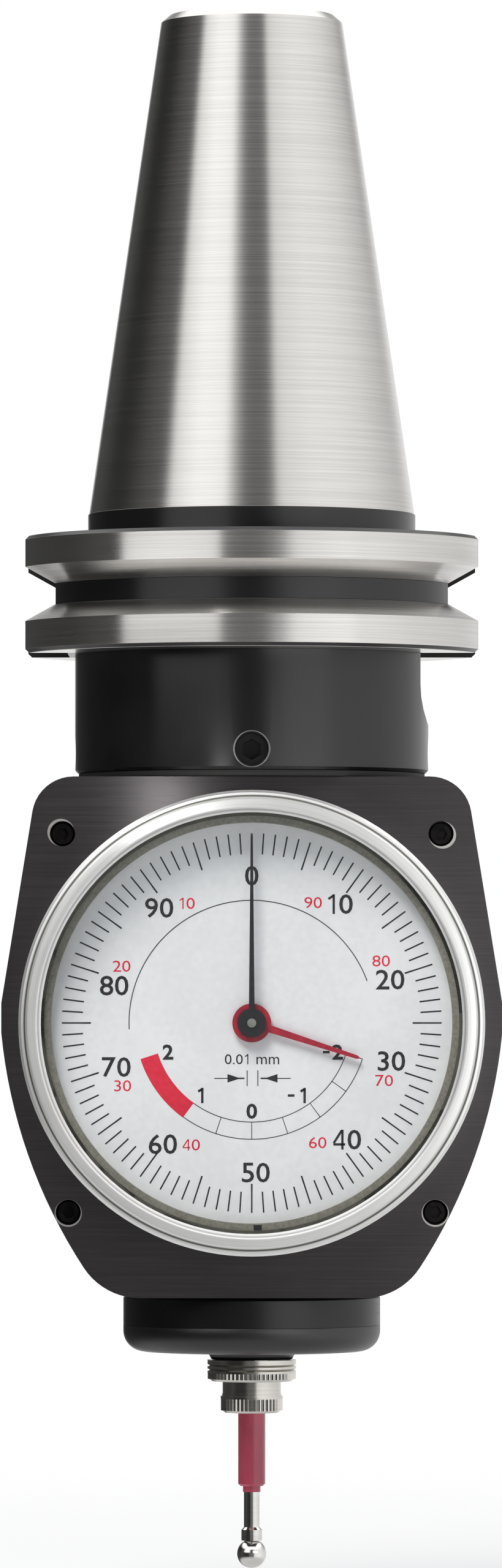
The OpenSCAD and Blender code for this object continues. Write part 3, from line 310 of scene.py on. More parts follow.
full_ramp, overhead, ground_level, even_light = 2, 1.6, 0.7, 0.27
cool, neutral = (0.87, 0.96, 1.13, 1), (1, 1, 1, 1)
low_panels = panels([
    (-180, 0.95), (-172, 0.9), (-164, 0.07), (-140, 0.06), (-100, 0.05), (-80, 0.07), (-60, 0.03),
    (-25, 0.03), (-12, 0.16), (8, 0.16), (15, 0.2), (21, 0.9), (42, 1.05), (62, 1.1), (90, 0.95),
    (126, 0.85), (155, 0.9), (180, 0.95)])
high_panels = panels([
    (-180, 0.7), (-158, 0.14), (-136, 0.05), (-120, 0.02), (-104, 0.03), (-84, 0.08), (-67, 0.1),
    (-61, 1.15), (-42, 1.5), (-20, 1.42), (-13, 0.5), (-6, 0.09), (4, 0.06), (15, 0.07),
    (20, 0.95), (48, 1.12), (71, 1.1), (96, 0.98), (126, 0.7), (146, 0.36), (160, 0.4),
    (180, 0.7)])
world = bpy.data.worlds.new("studio")
scene.world = world
world.use_nodes = True
world.node_tree.nodes.clear()
world.cycles.sampling_method = "NONE"
way = Wire(world.node_tree).node("ShaderNodeTexCoord", None, None, "Generated")
way_x, way_y, way_z = parts(way)
turn = way_x.math("ARCTAN2", 0 - way_y) / math.tau + 0.5
low_wall = turn.node("ShaderNodeValToRGB", {"stops": low_panels}, {0: turn}) * full_ramp
high_wall = turn.node("ShaderNodeValToRGB", {"stops": high_panels}, {0: turn}) * full_ramp
wall = between(low_wall, high_wall, step(way_z, 0.12, 0.22))
wall = between(wall, overhead, step(way_z, 0.45, 0.66))
wall = between(wall, ground_level, step(way_z, -0.6, -0.28, 1.0, 0.0))
ray = way.node("ShaderNodeLightPath", None, None, "Is Camera Ray")
shiny_ray = ray.twin("Is Glossy Ray")
clear_ray = ray.twin("Is Transmission Ray")
seen = ray.math("MAXIMUM", clear_ray)
level = seen + shiny_ray * (1 - seen) * wall
level = level + (1 - seen) * (1 - shiny_ray) * even_light
tint = mixed(seen.math("MAXIMUM", shiny_ray), cool, neutral)
sky = way.node("ShaderNodeBackground", None, {"Color": tint, "Strength": level})
way.node("ShaderNodeOutputWorld", None, {"Surface": sky})
print("panels:", len(low_panels), "low stops and", len(high_panels), "high stops")

# %% [markdown]
# ## Lamps
#
# The bezel's lip throws a soft bluish shadow on the upper left of the dial, so the main lamp
# stands up and to the left. It lights dull surfaces only, because the panels above already
# light the shiny ones. A panel far away shows the same in every flat face and in every
# cylinder. A glowing card close by doesn't, because each point sees it at another angle. One
# card makes the dark front lighter to the right, one puts the bright band on the left of the
# flange but leaves the neck below it black, and a small one gives the streak on the upper
# left corner. They are meshes that only shiny surfaces see. Places and sizes of lamp and cards
# are in millimetres.

# %% Lamps
def facing(place, aim):
    """The turn that points a lamp or a card at what it lights."""
    return (Vector(aim) - Vector(place)).to_track_quat("-Z", "Y")


def lamp(name, place, aim, size, power, tint):
    """A square area lamp that only dull surfaces see."""
    data = bpy.data.lights.new(name, "AREA")
    data.shape, data.size, data.energy, data.color = "SQUARE", size * mm, power, tint
    lit = bpy.data.objects.new(name, data)
    lit.location = Vector(place) * mm
    lit.rotation_euler = facing(place, aim).to_euler()
    lit.visible_camera, lit.visible_glossy = False, False
    scene.collection.objects.link(lit)
    return lit


def card(name, place, aim, width, height, strength):
    """A glowing rectangle that only shiny surfaces see."""
    work = bmesh.new()
    bmesh.ops.create_grid(work, x_segments=1, y_segments=1, size=0.5)
    bmesh.ops.transform(work, verts=work.verts, matrix=(
        Matrix.Scale(mm, 4) @ Matrix.Translation(place)
        @ facing(place, aim).to_matrix().to_4x4() @ Matrix.Diagonal((width, height, 1, 1))))
    mesh = bpy.data.meshes.new(name)
    work.to_mesh(mesh)
    work.free()
    glow = start_finish(name + "_glow")
    light = glow.node("ShaderNodeEmission", None, {"Color": (1, 1, 1, 1), "Strength": strength})
    glow.node("ShaderNodeOutputMaterial", None, {"Surface": light})
    mesh.materials.append(finishes[name + "_glow"])
    made = bpy.data.objects.new(name, mesh)
    scene.collection.objects.link(made)
    made.visible_camera, made.visible_diffuse, made.visible_shadow = False, False, False
    made.visible_transmission = False
    return made


main_lamp = lamp("main lamp", (-240, -470, 660), (0, 0, -60), 380, 9.3, (1.0, 0.98, 0.96))
cards = [card("side_card", (170, -250, -68), (170, 0, -68), 262, 76, 2.2),
         card("flange_card", (-92, -121, -3), (0, 0, -3), 132, 16, 2.0),
         card("corner_card", (-12.2, -46, -39.2), (-12.2, 0, -39.2), 5.5, 4.5, 15.0)]
print("lamp:", main_lamp.name, "and", len(cards), "cards")

# %% [markdown]
# ## Floor
#
# A plain pale floor lies a little below the ball. Under the part a quarter of what the camera
# sees is the lit floor with its soft shadow, and the rest is plain white. Further out it
# fades into the white of the background, so no horizon shows behind the probe. The fade only
# changes what the camera sees, not the light on the part, and reflections don't see the
# floor, because the world's lower part stands for it.

# %% Floor
work = bmesh.new()
bmesh.ops.create_circle(work, cap_ends=True, segments=64, radius=2.5)
bmesh.ops.translate(work, verts=work.verts, vec=(0, 0, floor_z * mm))
floor_mesh = bpy.data.meshes.new("floor")
work.to_mesh(floor_mesh)
work.free()
floor = bpy.data.objects.new("floor", floor_mesh)
scene.collection.objects.link(floor)
place = start_finish("pale_floor")
floor_x, floor_y, _ = parts(place)
speck = grain(place, (900, 900, 900))
pale = shaded(speck, (0.86, 0.86, 0.86, 1), (0.9, 0.9, 0.9, 1))
dull = place.node("ShaderNodeBsdfDiffuse", None, {"Color": pale})
glow = place.node("ShaderNodeEmission", None, {"Color": (1, 1, 1, 1), "Strength": 1.0})
floor_ray = place.node("ShaderNodeLightPath", None, None, "Is Camera Ray")
white_share = step(from_axis(floor_x, floor_y), 0.05, 0.4, 0.75, 1.0)
shown = floor_ray.math("MAXIMUM", floor_ray.twin("Is Transmission Ray"))
floor_shader = place.node("ShaderNodeMixShader", None, {0: shown * white_share, 1: dull, 2: glow})
place.node("ShaderNodeOutputMaterial", None, {"Surface": floor_shader})
floor_mesh.materials.append(finishes["pale_floor"])
floor.visible_glossy = False
print("floor at", floor_z, "mm")

# %% [markdown]
# ## Ground steel and black oxide on one piece
#
# The shank is one piece of hardened steel. It is dipped to turn it black all over, and then
# the cone, the rim of the flange and both flanks of its V groove are ground to size, which
# brings the bright steel back. The floor of the groove, the slots, the band under the cone
# and the neck stay black. One material with a mask by place is truer than two pieces: a
# point is ground if it is above the gauge circle, or far enough out on the flange and clear
# of its drive slots. The flange's underside is ground too, but the chamfer round it is not.
# The edges of the four radial holes are bright, where the countersink cut through the black.
# Grinding leaves fine rings round the axis, which smear a reflection up and down but hardly
# sideways, and the shader's anisotropy does just that.

# %% Shank finish
place = start_finish("shank_steel")
shank_x, shank_y, shank_z = parts(place)
shank_r = from_axis(shank_x, shank_y)
cone = beyond(shank_z, 0.07, 0.05)
beside_slot = beyond(shank_y.math("ABSOLUTE"), 8.13, 0.03)
rim = beyond(shank_r, 27.915, 0.035) * within(shank_z, -3.7, 0.02)
above_chamfer = beyond(shank_z, -18.6, 0.02)
underside = (within(shank_z, -19.055, 0.015) * beyond(shank_z, -19.18, 0.02)
             * beyond(shank_r, 24.65, 0.05))
flange = underside.math("MAXIMUM", rim * above_chamfer) * beside_slot
hole_z, hole_rim = -32.6, 2.46
off_hole = shank_x.math("ABSOLUTE").math("MINIMUM", shank_y.math("ABSOLUTE"))
hole_edge = (within(from_axis(off_hole, shank_z - hole_z * mm), hole_rim, 0.04, 0.75)
             * beyond(shank_r, 23.95, 0.05) * within(shank_z, -27.5, 0.5))
ground = cone.math("MAXIMUM", flange.math("MAXIMUM", hole_edge))
rings = grain(place, (40, 40, 5200), 3)
clouds = grain(place, (130, 130, 90), 3)
oxide = shaded(clouds, chart(9, 8, 9), chart(15, 14, 15))
steel = shaded(rings, chart(204, 202, 199), chart(217, 215, 212))
close_finish(place, {
    "Base Color": mixed(ground, oxide, steel),
    "Metallic": ground,
    "Roughness": (0.24 + clouds * 0.1) * (1 - ground) + ground * (0.19 + rings * 0.05),
    "Specular IOR Level": 0.6, "Anisotropic": 0.5, "Anisotropic Rotation": 0.25,
    "Normal": relief(rings * 0.6 + clouds * 0.4, 0.08, 0.01)})
print("ground above the gauge circle and on the gripping faces of the flange")

# %% [markdown]
# ## Black anodised aluminium, brushed
#
# The housing is milled from aluminium, brushed along and then anodised black. The dye
# leaves a charcoal with a little warmth, and the brush leaves long level scratches that catch
# the light. Noise drawn out eighty times longer than it is high gives both the tone and
# the bump of the scratches.
#
# The edges of the four corner holes get painted highlights, thin pale crescents of glint: at the
# upper left hole up and outward, at the upper right one down and outward, at the lower ones
# below. No lamp can light an edge that small by itself, so the finish paints the glint there as
# a pale metal colour. It is again a mask by distance, and what makes a crescent of it is that
# it is measured from a point a little beside the middle of the hole. These points are given
# from the dial's axis, and those of the upper pair sink a little from left to right.

# %% Housing finish
place = start_finish("charcoal_anodised")
scratches = 6500
scratch = grain(place, (80, 80, scratches), 4)
patch = grain(place, (60, 60, 60), 3)
tone = scratch * 0.55 + patch * 0.45
front_x, front_y, front_z = parts(place)
side_x, above_dial = front_x.math("ABSOLUTE"), front_z - dial_z * mm
upper_x, upper_z, sink, lower_x, lower_z = 25.6, 25.4, 0.007, 24.6, -25.52
upper_edge = from_axis(side_x - upper_x * mm, above_dial - upper_z * mm + front_x * sink)
lower_edge = from_axis(side_x - lower_x * mm, above_dial - lower_z * mm)
nearest = upper_edge.math("MINIMUM", lower_edge)
# painted highlight: pale crescents at the edges of the corner holes stand in for glints of light
painted_glint = within(nearest, 1.82, 0.04, 0.9) * within(front_y, -19.75, 0.05)
black = shaded(tone, chart(80, 77, 78), chart(90, 87, 88))
close_finish(place, {
    # the pale colour of the painted highlight at the corner holes
    "Base Color": mixed(painted_glint, black, chart(222, 219, 215)),
    "Metallic": 0.96,
    "Roughness": 0.3 + scratch * 0.1,
    "Specular IOR Level": 0.8, "Anisotropic": 0.4, "Anisotropic Rotation": 0.25,
    "Normal": relief(scratch, 0.25, 0.012)})
print("brushed along, scratches", round(1000 / scratches, 2), "mm apart")

# %% [markdown]
# ## Turned metal of the bezel
#
# The bezel is turned on a lathe and matt chrome plated. The tool leaves rings about the
# dial's axis, so the pattern is noise over the distance from that axis. A fairly rough metal
# collects light from the whole studio, which is why the flat ring looks pale all round. It is
# polished by hand and a little domed, and a low parabola in the bump gives it that roundness.
# Its top lies inside the middle of the flat, so most of the flat leans outward. Two fine
# turned lines, a deep one near the rim and a shallow one inside, are cut into the bump and
# coloured darker as painted shade in the grooves. All these places are radii in millimetres.
# Dome and lines count many times more in the bump than the rings of the tool do.

# %% Bezel finish
place = start_finish("turned_bezel")
across, _, up = parts(place)
bezel_reach = from_axis(across, up - dial_z * mm)
tool_rings = 6500
turning = bezel_reach.node("ShaderNodeTexNoise", {"noise_dimensions": "1D"},
                           {"W": bezel_reach * tool_rings, "Scale": 1.0, "Detail": 3.0})
smudge = grain(place, (160, 160, 160), 3)
dome_top, shallow_line, deep_line = 28.8, 28.48, 30.3
radius = bezel_reach / mm
from_top = radius - dome_top
dome = 1 - from_top * from_top
deep = step((radius - deep_line).math("ABSOLUTE"), 0.06, 0.2, 1.0, 0.0)
shallow = step((radius - shallow_line).math("ABSOLUTE"), 0.05, 0.16, 1.0, 0.0)
# painted shade: the turned lines are coloured darker as well as cut into the bump
cut = deep.math("MAXIMUM", shallow * 0.5)
dome_rise, cut_depth = 28.0, 8.0
plated = shaded(turning, chart(232, 232, 230), chart(244, 244, 242))
close_finish(place, {
    # the darker colour of the painted shade in the turned lines
    "Base Color": mixed(cut, plated, chart(128, 127, 122)),
    "Metallic": 0.82,
    "Roughness": 0.3 + turning * 0.1 + smudge * 0.1,
    "Normal": relief(dome * dome_rise + turning - cut * cut_depth, 0.5, 0.006)})
print("turning rings", round(1000 / tool_rings, 2), "mm apart")

# %% [markdown]
# ## Dark ring inside the bezel
#
# Between crystal and dial sits a narrow ring. Its dull olive grey is painted shade, standing in
# for a metal ring in the shadow of the lip. It is seen at a slant, darker at the top where the
# lip shades it and lighter below.

# %% Spacer finish
place = start_finish("olive_painted_shade")
pits = grain(place, (2600, 2600, 2600), 2)
close_finish(place, {
    # painted shade: the dull olive grey stands in for the ring in the lip's shadow
    "Base Color": shaded(pits, chart(116, 113, 103), chart(134, 131, 120)),
    "Roughness": 0.45 + pits * 0.15,
    "Normal": relief(pits, 0.2, 0.01)})
print("olive coat mixed")

# %% [markdown]
# ## Dial enamel and inks
#
# The dial is a metal disc with a matt white coat, a little cool in tone. Up close such a coat
# is not even: it has a faint mottle, and its grain breaks the light. The scale is printed
# on it in black, red and grey inks that lie slightly proud and cover a little unevenly.

# %% Dial finishes
def coat(name, dark, light, spots=1500):
    """A paint, ink or enamel with a fine grain."""
    place = start_finish(name)
    fine = grain(place, (spots, spots, spots), 3)
    cloud = grain(place, (90, 90, 90), 2)
    close_finish(place, {
        "Base Color": mixed(step(fine * 0.5 + cloud * 0.5, 0.32, 0.68), dark, light),
        "Roughness": 0.5 + fine * 0.12,
        "Normal": relief(fine, 0.2, 0.004)})


coat("dial_enamel", chart(222, 222, 224), chart(231, 231, 233), spots=1200)
coat("black_ink", chart(26, 26, 30), chart(40, 40, 45))
coat("red_ink", chart(205, 24, 52), chart(222, 40, 66))
coat("fine_ink", chart(62, 63, 68), chart(82, 83, 88))
print("inks:", [name for name in finishes if "ink" in name])

# %% [markdown]
# ## Pointers
#
# Both pointers are stamped from thin sheet and lacquered, one black and one red. Lacquer is
# smoother than ink, so it gets a clear coat on top.

# %% Pointer lacquers
def lacquer(name, dark, light):
    """A thin lacquer with a clear coat."""
    place = start_finish(name)
    fine = grain(place, (1300, 1300, 1300), 2)
    close_finish(place, {
        "Base Color": shaded(fine, dark, light),
        "Roughness": 0.38 + fine * 0.1,
        "Coat Weight": 0.3, "Coat Roughness": 0.15,
        "Normal": relief(fine, 0.15, 0.004)})


lacquer("black_lacquer", chart(24, 24, 28), chart(34, 34, 38))
lacquer("red_lacquer", chart(150, 18, 42), chart(172, 28, 52))
print("lacquers mixed")

# %% [markdown]
# ## Crystal
#
# The crystal is flat and clear. Real glass would bend and filter the light on its way to the
# dial, which costs many samples and changes nothing one can see. A thin share of gloss over
# plain transparency shows the same: a clear pane, with a sheen where it is seen at a slant.
# The share grows with the slant itself, which is alike on the front and the back of the
# pane, while a true Fresnel would mirror everything on the way out. A greasy film makes both
# the share and the roughness a little uneven.

# %% Crystal finish
place = start_finish("crystal_pane")
film = grain(place, (70, 70, 70), 3)
pane = place.node("ShaderNodeBsdfPrincipled", None, {
    "Base Color": (1, 1, 1, 1), "Metallic": 1.0, "Roughness": 0.015 + film * 0.02})
through = place.node("ShaderNodeBsdfTransparent", None, {"Color": (0.985, 0.99, 0.985, 1)})
slant = place.node("ShaderNodeLayerWeight", None, {"Blend": 0.5}, "Facing")
straight_on, grazing = 0.022, 0.6
pane_share = (straight_on + slant.math("POWER", 4.0) * grazing) * (0.85 + film * 0.3)
glazing = place.node("ShaderNodeMixShader", None, {0: pane_share, 1: through, 2: pane})
place.node("ShaderNodeOutputMaterial", None, {"Surface": glazing})
finishes["crystal_pane"].blend_method = "BLEND"
print("crystal shines", straight_on, "straight on and", straight_on + grazing, "at a slant")

# %% [markdown]
# ## Bright steels
#
# The nut and the foot of the tip are turned and left bright, the ball and its pin are
# polished, the tip of the arbor is satin, and the springs are drawn wire. The corner screws
# are coloured nearly black as painted shade for their deep holes. They differ in how rough they
# are and in which direction their marks run, so one recipe with a few numbers serves them all,
# and the brass and bronze of the movement too.

# %% Metal recipe
def metal(name, dark, light, rough, stretch, depth=0.004):
    """Bare metal with marks drawn out along the axes as stretch says, depth in mm."""
    place = start_finish(name)
    marks = grain(place, stretch, 3)
    cloud = grain(place, (220, 220, 220), 2)
    close_finish(place, {
        "Base Color": shaded(marks * 0.6 + cloud * 0.4, dark, light),
        "Metallic": 1.0,
        "Roughness": rough + marks * 0.08 + cloud * 0.05,
        "Normal": relief(marks, 0.2, depth)})


metal("turned_steel", chart(202, 199, 193), chart(216, 213, 207), 0.1, (60, 60, 7000), 0.0015)
metal("polished_steel", chart(214, 213, 210), chart(226, 225, 222), 0.05, (300, 300, 2500), 0.001)
metal("spring_wire", chart(150, 149, 148), chart(176, 174, 172), 0.26, (2500, 2500, 400))
# painted shade: the corner screws are coloured nearly black for the shade in their deep holes
metal("painted_shade_screws", chart(28, 27, 27), chart(44, 42, 42), 0.3, (900, 900, 900))
metal("satin_steel", chart(166, 167, 160), chart(182, 183, 176), 0.42, (900, 900, 900))
metal("sheet_brass", chart(190, 152, 84), chart(208, 170, 100), 0.3, (90, 2600, 2600))
metal("cast_bronze", chart(164, 118, 74), chart(186, 140, 92), 0.34, (700, 700, 1500))
print("metals:", list(finishes)[list(finishes).index("turned_steel"):])

# %% [markdown]
# ## Black screws, ring and rubber
#
# Socket screws and the ring under the housing are blackened steel. The ring is turned, so its
# marks are fine level rings. Rubber has a fine moulded grain. Its light comes off in a broad
# soft sheen, never in a sharp reflection, and the boot's is stronger than that of the seals.

# %% Black finishes
def blackened(name, dark, light, rough, stretch, depth, strength=0.25, shine=0.5):
    """Black steel or rubber: a grain drawn out as stretch says, and its depth in mm."""
    place = start_finish(name)
    fine = grain(place, stretch, 4)
    cloud = grain(place, (150, 150, 150), 3)
    close_finish(place, {
        "Base Color": mixed(step(fine * 0.4 + cloud * 0.6, 0.32, 0.68), dark, light),
        "Roughness": rough + fine * 0.1 + cloud * 0.06,
        "Specular IOR Level": shine,
        "Normal": relief(fine, strength, depth)})


blackened("blackened_steel", chart(18, 18, 18), chart(28, 27, 28), 0.3, (900, 900, 900), 0.004)
blackened("ring_coat", chart(4, 4, 4), chart(9, 8, 9), 0.24, (120, 120, 4200), 0.006, 0.2)
blackened("boot_rubber", chart(7, 7, 7), chart(12, 11, 12), 0.3, (1700, 1700, 1700), 0.02,
          0.3, 0.78)
# also the colour of the dark ring in the joint, which is painted shade
blackened("seal_rubber_and_joint_shade", chart(20, 20, 20), chart(30, 30, 29), 0.55, (2200, 2200, 2200), 0.01)
blackened("seal_cord", chart(70, 69, 62), chart(88, 87, 79), 0.6, (2200, 2200, 2200), 0.01)
print("blacks:", list(finishes)[list(finishes).index("blackened_steel"):])

# %% [markdown]
# ## Red breakable stem
#
# The stem of the tip is a short tube of red plastic with a ceramic-like gloss. It snaps before
# the movement is harmed. The plastic itself is fairly dull, with faint flow marks along the
# stem from the mould, and a clear coat over it carries the sharp highlight.

# %% Stem finish
place = start_finish("red_plastic")
flow = grain(place, (500, 500, 130), 4)
fine = grain(place, (2600, 2600, 2600), 2)
close_finish(place, {
    "Base Color": shaded(flow, chart(160, 50, 72), chart(188, 64, 88)),
    "Roughness": 0.42 + flow * 0.12,
    "Coat Weight": 0.75, "Coat Roughness": 0.04,
    "Normal": relief(fine, 0.15, 0.006)})
print("finishes so far:", len(finishes))

# %% [markdown]
# ## A finish for every CAD piece
#
# The shapes of these pieces are right as they come, so only their material slots change. The
# list goes by finish, with the pieces that have it, and the cell stops the script if a piece
# has been forgotten.

# %% Dress the CAD pieces
dress = {
    "shank_steel": ["taper_shank"],
    "charcoal_anodised": ["housing_body", "front_frame"],
    "turned_bezel": ["bezel_ring", "bezel_wire", "dial_snap_ring"],
    "crystal_pane": ["crystal"],
    "olive_painted_shade": ["dial_spacer"],
    "dial_enamel": ["dial_face"],
    "black_lacquer": ["long_pointer"],
    "red_lacquer": ["short_pointer"],
    "blackened_steel": ["centring_screws", "clamp_screw", "pillar_screws", "plate_screws",
                        "bracket_screw", "boot_screws"],
    "painted_shade_screws": ["corner_screws"],
    "ring_coat": ["boot_ring"],
    "boot_rubber": ["rubber_boot"],
    "seal_rubber_and_joint_shade": ["frame_gasket", "dial_key"],
    "seal_cord": ["crystal_gasket"],
    "turned_steel": ["stylus_seat", "tip_base", "movement_pillars", "counter_stud", "rack_bar",
                     "stop_ring", "carriage", "gimbal_ring", "stylus_carrier"],
    "polished_steel": ["stylus_pin", "stylus_ball", "thrust_ball", "ring_pins", "carrier_pins",
                       "plunger_rod", "rack_arbor", "hairspring_stud"],
    "satin_steel": ["centre_arbor"],
    "sheet_brass": ["movement_front_plate", "movement_rear_plate", "rack_wheel",
                    "counter_wheel", "sweep_wheel", "take_up_wheel"],
    "cast_bronze": ["guide_bush"],
    "spring_wire": ["hairspring", "return_spring", "centring_spring"],
    "red_plastic": ["stylus_stem"],
}
dressed = [name for names in dress.values() for name in names]
forgotten = sorted(set(frame["nodes"]) - set(dressed))
if forgotten or len(dressed) != len(frame["nodes"]):
    raise SystemExit(f"pieces without a finish: {forgotten}")
for finish, names in dress.items():
    for name in names:
        for material_slot in frame["nodes"][name].material_slots:
            material_slot.material = finishes[finish]
print(len(dressed), "pieces in", len(dress), "finishes")

# %% [markdown]
# ## Making a piece from a bmesh
#
# Every new piece is shaped in a bmesh and then becomes an object at the origin, with its
# place in its mesh. Doubles are merged first and the normals turned outward after that. Curved
# pieces are shaded smooth up to a sharp angle, in degrees, and 0 keeps every face flat. A
# piece rides on one body of the model, or on none.

# %% Finish a piece
def piece(name, work, finish, body, smooth=30):
    """An object from a bmesh, with its finish, its body and its material slot."""
    bmesh.ops.remove_doubles(work, verts=work.verts, dist=1e-7)
    bmesh.ops.recalc_face_normals(work, faces=work.faces)
    for face in work.faces:
        face.smooth = smooth > 0
    for edge in work.edges:
        if len(edge.link_faces) == 2 and edge.calc_face_angle(0) > math.radians(smooth):
            edge.smooth = False
    mesh = bpy.data.meshes.new(name)
    work.to_mesh(mesh)
    work.free()
    mesh.materials.append(finishes[finish])
    made = bpy.data.objects.new(name, mesh)
    scene.collection.objects.link(made)
    if body:
        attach(made, body)
    print(name, len(mesh.polygons), "faces")
    return made


print("workbench ready")

# %% [markdown]
# ## Laying ink on the dial
#
# The printing is drawn flat, like a drawing on paper: x to the right and y up from the dial's
# axis, in millimetres. The finished drawing is raised by the thickness of the ink and then
# stood upright on the dial, with its back just inside the enamel.

# %% Ink on the dial
ink_height, ink_sunk = 0.02, 0.005


def on_dial(work):
    """Give a flat drawing its thickness and lay it on the dial's face."""
    raised = bmesh.ops.extrude_face_region(work, geom=list(work.faces))
    lifted = [item for item in raised["geom"] if isinstance(item, bmesh.types.BMVert)]
    bmesh.ops.translate(work, verts=lifted, vec=(0, 0, ink_height))
    bmesh.ops.transform(work, verts=work.verts, matrix=(
        Matrix.Translation((0, (dial_front + ink_sunk) * mm, dial_z * mm))
        @ Matrix.Rotation(math.radians(90), 4, "X") @ Matrix.Scale(mm, 4)))


print("ink", ink_height - ink_sunk, "mm proud of the dial")

# %% [markdown]
# ## Scale lines
#
# The outer scale has a hundred lines, and every fifth is longer. One line is drawn as a small
# rectangle at the top of the dial and spun with `use_duplicate`, which copies it instead of
# sweeping it. That is both exact and short, and each line stays a handful of faces. The long
# lines are short ones with a second rectangle under them.

# %% Scale lines
def rectangle(work, left, right, low, high):
    """A flat rectangle from a one-face grid."""
    made = bmesh.ops.create_grid(work, x_segments=1, y_segments=1, size=0.5)
    centre = ((left + right) / 2, (low + high) / 2, 0)
    bmesh.ops.scale(work, verts=made["verts"], vec=(right - left, high - low, 1))
    bmesh.ops.translate(work, verts=made["verts"], vec=centre)
    return made["verts"]


def repeated(work, drawn, count):
    """Evenly spaced copies of the drawn shape, once round the dial axis."""
    faces = list({face for vertex in drawn for face in vertex.link_faces})
    bmesh.ops.spin(work, geom=faces, cent=(0, 0, 0), axis=(0, 0, 1), angle=math.tau,
                   steps=count, use_duplicate=True)


scale_edge, short_end, long_end = 25.4, 22.6, 21.5
lines = bmesh.new()
for count, half, low, high in ((100, 0.1, short_end, scale_edge), (20, 0.11, long_end, short_end)):
    repeated(lines, rectangle(lines, -half, half, low, high), count)
on_dial(lines)
piece("scale_lines", lines, "black_ink", "bezel", 0)

# %% [markdown]
# ## Arcs and the small scale
#
# The small scale at the bottom shows whole millimetres from 2 on the left to -2 on the right,
# 36 degrees each, with a filled red block where the probe is near its stop. A thin arc closes
# the upper half. An arc is one short edge swept round the axis by spin.

# %% Arcs
def arc_band(work, inner, outer, start, end):
    """A band between two radii; angles count from the right, anticlockwise."""
    edge = [work.verts.new((radius * math.cos(math.radians(start)),
                            radius * math.sin(math.radians(start)), 0))
            for radius in (inner, outer)]
    work.edges.new(edge)
    steps = max(4, int(abs(end - start) / 2))
    bmesh.ops.spin(work, geom=[*edge, edge[0].link_edges[0]], cent=(0, 0, 0), axis=(0, 0, 1),
                   angle=math.radians(end - start), steps=steps)


small_inner, small_outer, thin = 13.25, 15.55, 0.06
at_two, at_one, at_minus_two = 198, 234, 342
small = bmesh.new()
for radius in (small_inner, small_outer):
    arc_band(small, radius - thin, radius + thin, at_one, at_minus_two)
half = math.degrees(thin / small_outer)
for angle in range(at_one + 18, at_minus_two + 1, 18):
    arc_band(small, small_inner, small_outer, angle - half, angle + half)
on_dial(small)
piece("small_scale", small, "fine_ink", "bezel", 0)
block = bmesh.new()
arc_band(block, small_inner - 0.05, small_outer + 0.1, at_two, at_one)
on_dial(block)
piece("red_block", block, "red_ink", "bezel", 0)
upper = bmesh.new()
arc_band(upper, 16.34, 16.48, 20, 183)
on_dial(upper)
piece("upper_arc", upper, "fine_ink", "bezel", 0)

# %% [markdown]
# ## Numerals
#
# The digits are text objects turned into meshes. A typeface has its own idea of size, so each
# digit is measured after it becomes a mesh and scaled to the height printed on the dial. The
# built-in typeface has a bare bar for 1 and a heavy 4, so these two are drawn from straight
# strokes, as an engraver does. Every digit gets a cell of the same width. The black numbers
# count clockwise, the small red ones the other way round. Each number has its own place on
# the dial, because they were measured one by one.

# %% Lettering
def stroke(work, start, end, width):
    """A straight stroke between two points, as a rectangle turned to its direction."""
    run = Vector(end) - Vector(start)
    made = rectangle(work, 0, run.length, -width / 2, width / 2)
    bmesh.ops.transform(work, verts=made, matrix=(
        Matrix.Translation((*start, 0)) @ Matrix.Rotation(math.atan2(run.y, run.x), 4, "Z")))
    return made


def drawn_digit(work, digit, height, width):
    """The 1 with its flag and the open 4 of instrument dials, from straight strokes."""
    half = width / 2
    if digit == "1":
        return [*stroke(work, (0.14 * height, 0), (0.14 * height, height), width),
                *stroke(work, (0.14 * height, height - half), (-0.13 * height, 0.76 * height),
                        width)]
    return [*stroke(work, (0.16 * height, 0), (0.16 * height, height), width),
            *stroke(work, (0.16 * height - half / 2, height - half / 2),
                    (-0.28 * height, 0.26 * height + half), width),
            *stroke(work, (-0.3 * height, 0.26 * height), (0.3 * height, 0.26 * height), width)]


def lettering(work, words, height, x, y, wide=1.0, bold=0.0):
    """Words as a flat mesh, centred at x and y mm from the dial axis."""
    text = bpy.data.curves.new("words", "FONT")
    text.body, text.offset, text.resolution_u = words, bold, 3
    written = bpy.data.objects.new("words", text)
    scene.collection.objects.link(written)
    bpy.context.view_layer.update()
    drawn = bpy.data.meshes.new_from_object(written.evaluated_get(
        bpy.context.evaluated_depsgraph_get()))
    bpy.data.objects.remove(written)
    before = set(work.verts)
    work.from_mesh(drawn)
    bpy.data.meshes.remove(drawn)
    new = [vertex for vertex in work.verts if vertex not in before]
    low = Vector([min(vertex.co[axis] for vertex in new) for axis in range(3)])
    high = Vector([max(vertex.co[axis] for vertex in new) for axis in range(3)])
    size = height / (high.y - low.y)
    bmesh.ops.translate(work, verts=new, vec=-(low + high) / 2)
    bmesh.ops.scale(work, verts=new, vec=(size * wide, size, 1))
    bmesh.ops.translate(work, verts=new, vec=(x, y, 0))


def number(work, words, height, x, y, heavy=0.12, wide=1.0):
    """A number set digit by digit in equal cells; heavy is the stroke's share of the height."""
    cell = 0.76 * height * wide
    for place_in_row, digit in enumerate(words):
        middle = x + (place_in_row - (len(words) - 1) / 2) * cell
        if digit in "14":
            new = drawn_digit(work, digit, height, heavy * height)
            bmesh.ops.scale(work, verts=new, vec=(wide, 1, 1))
            bmesh.ops.translate(work, verts=new, vec=(middle, y - height / 2, 0))
        elif digit == "-":
            rectangle(work, middle - 0.2 * height, middle + 0.24 * height,
                      y - heavy * height / 2, y + heavy * height / 2)
        else:
            lettering(work, digit, height, middle, y, wide * 1.08, (heavy - 0.1) * 0.45)


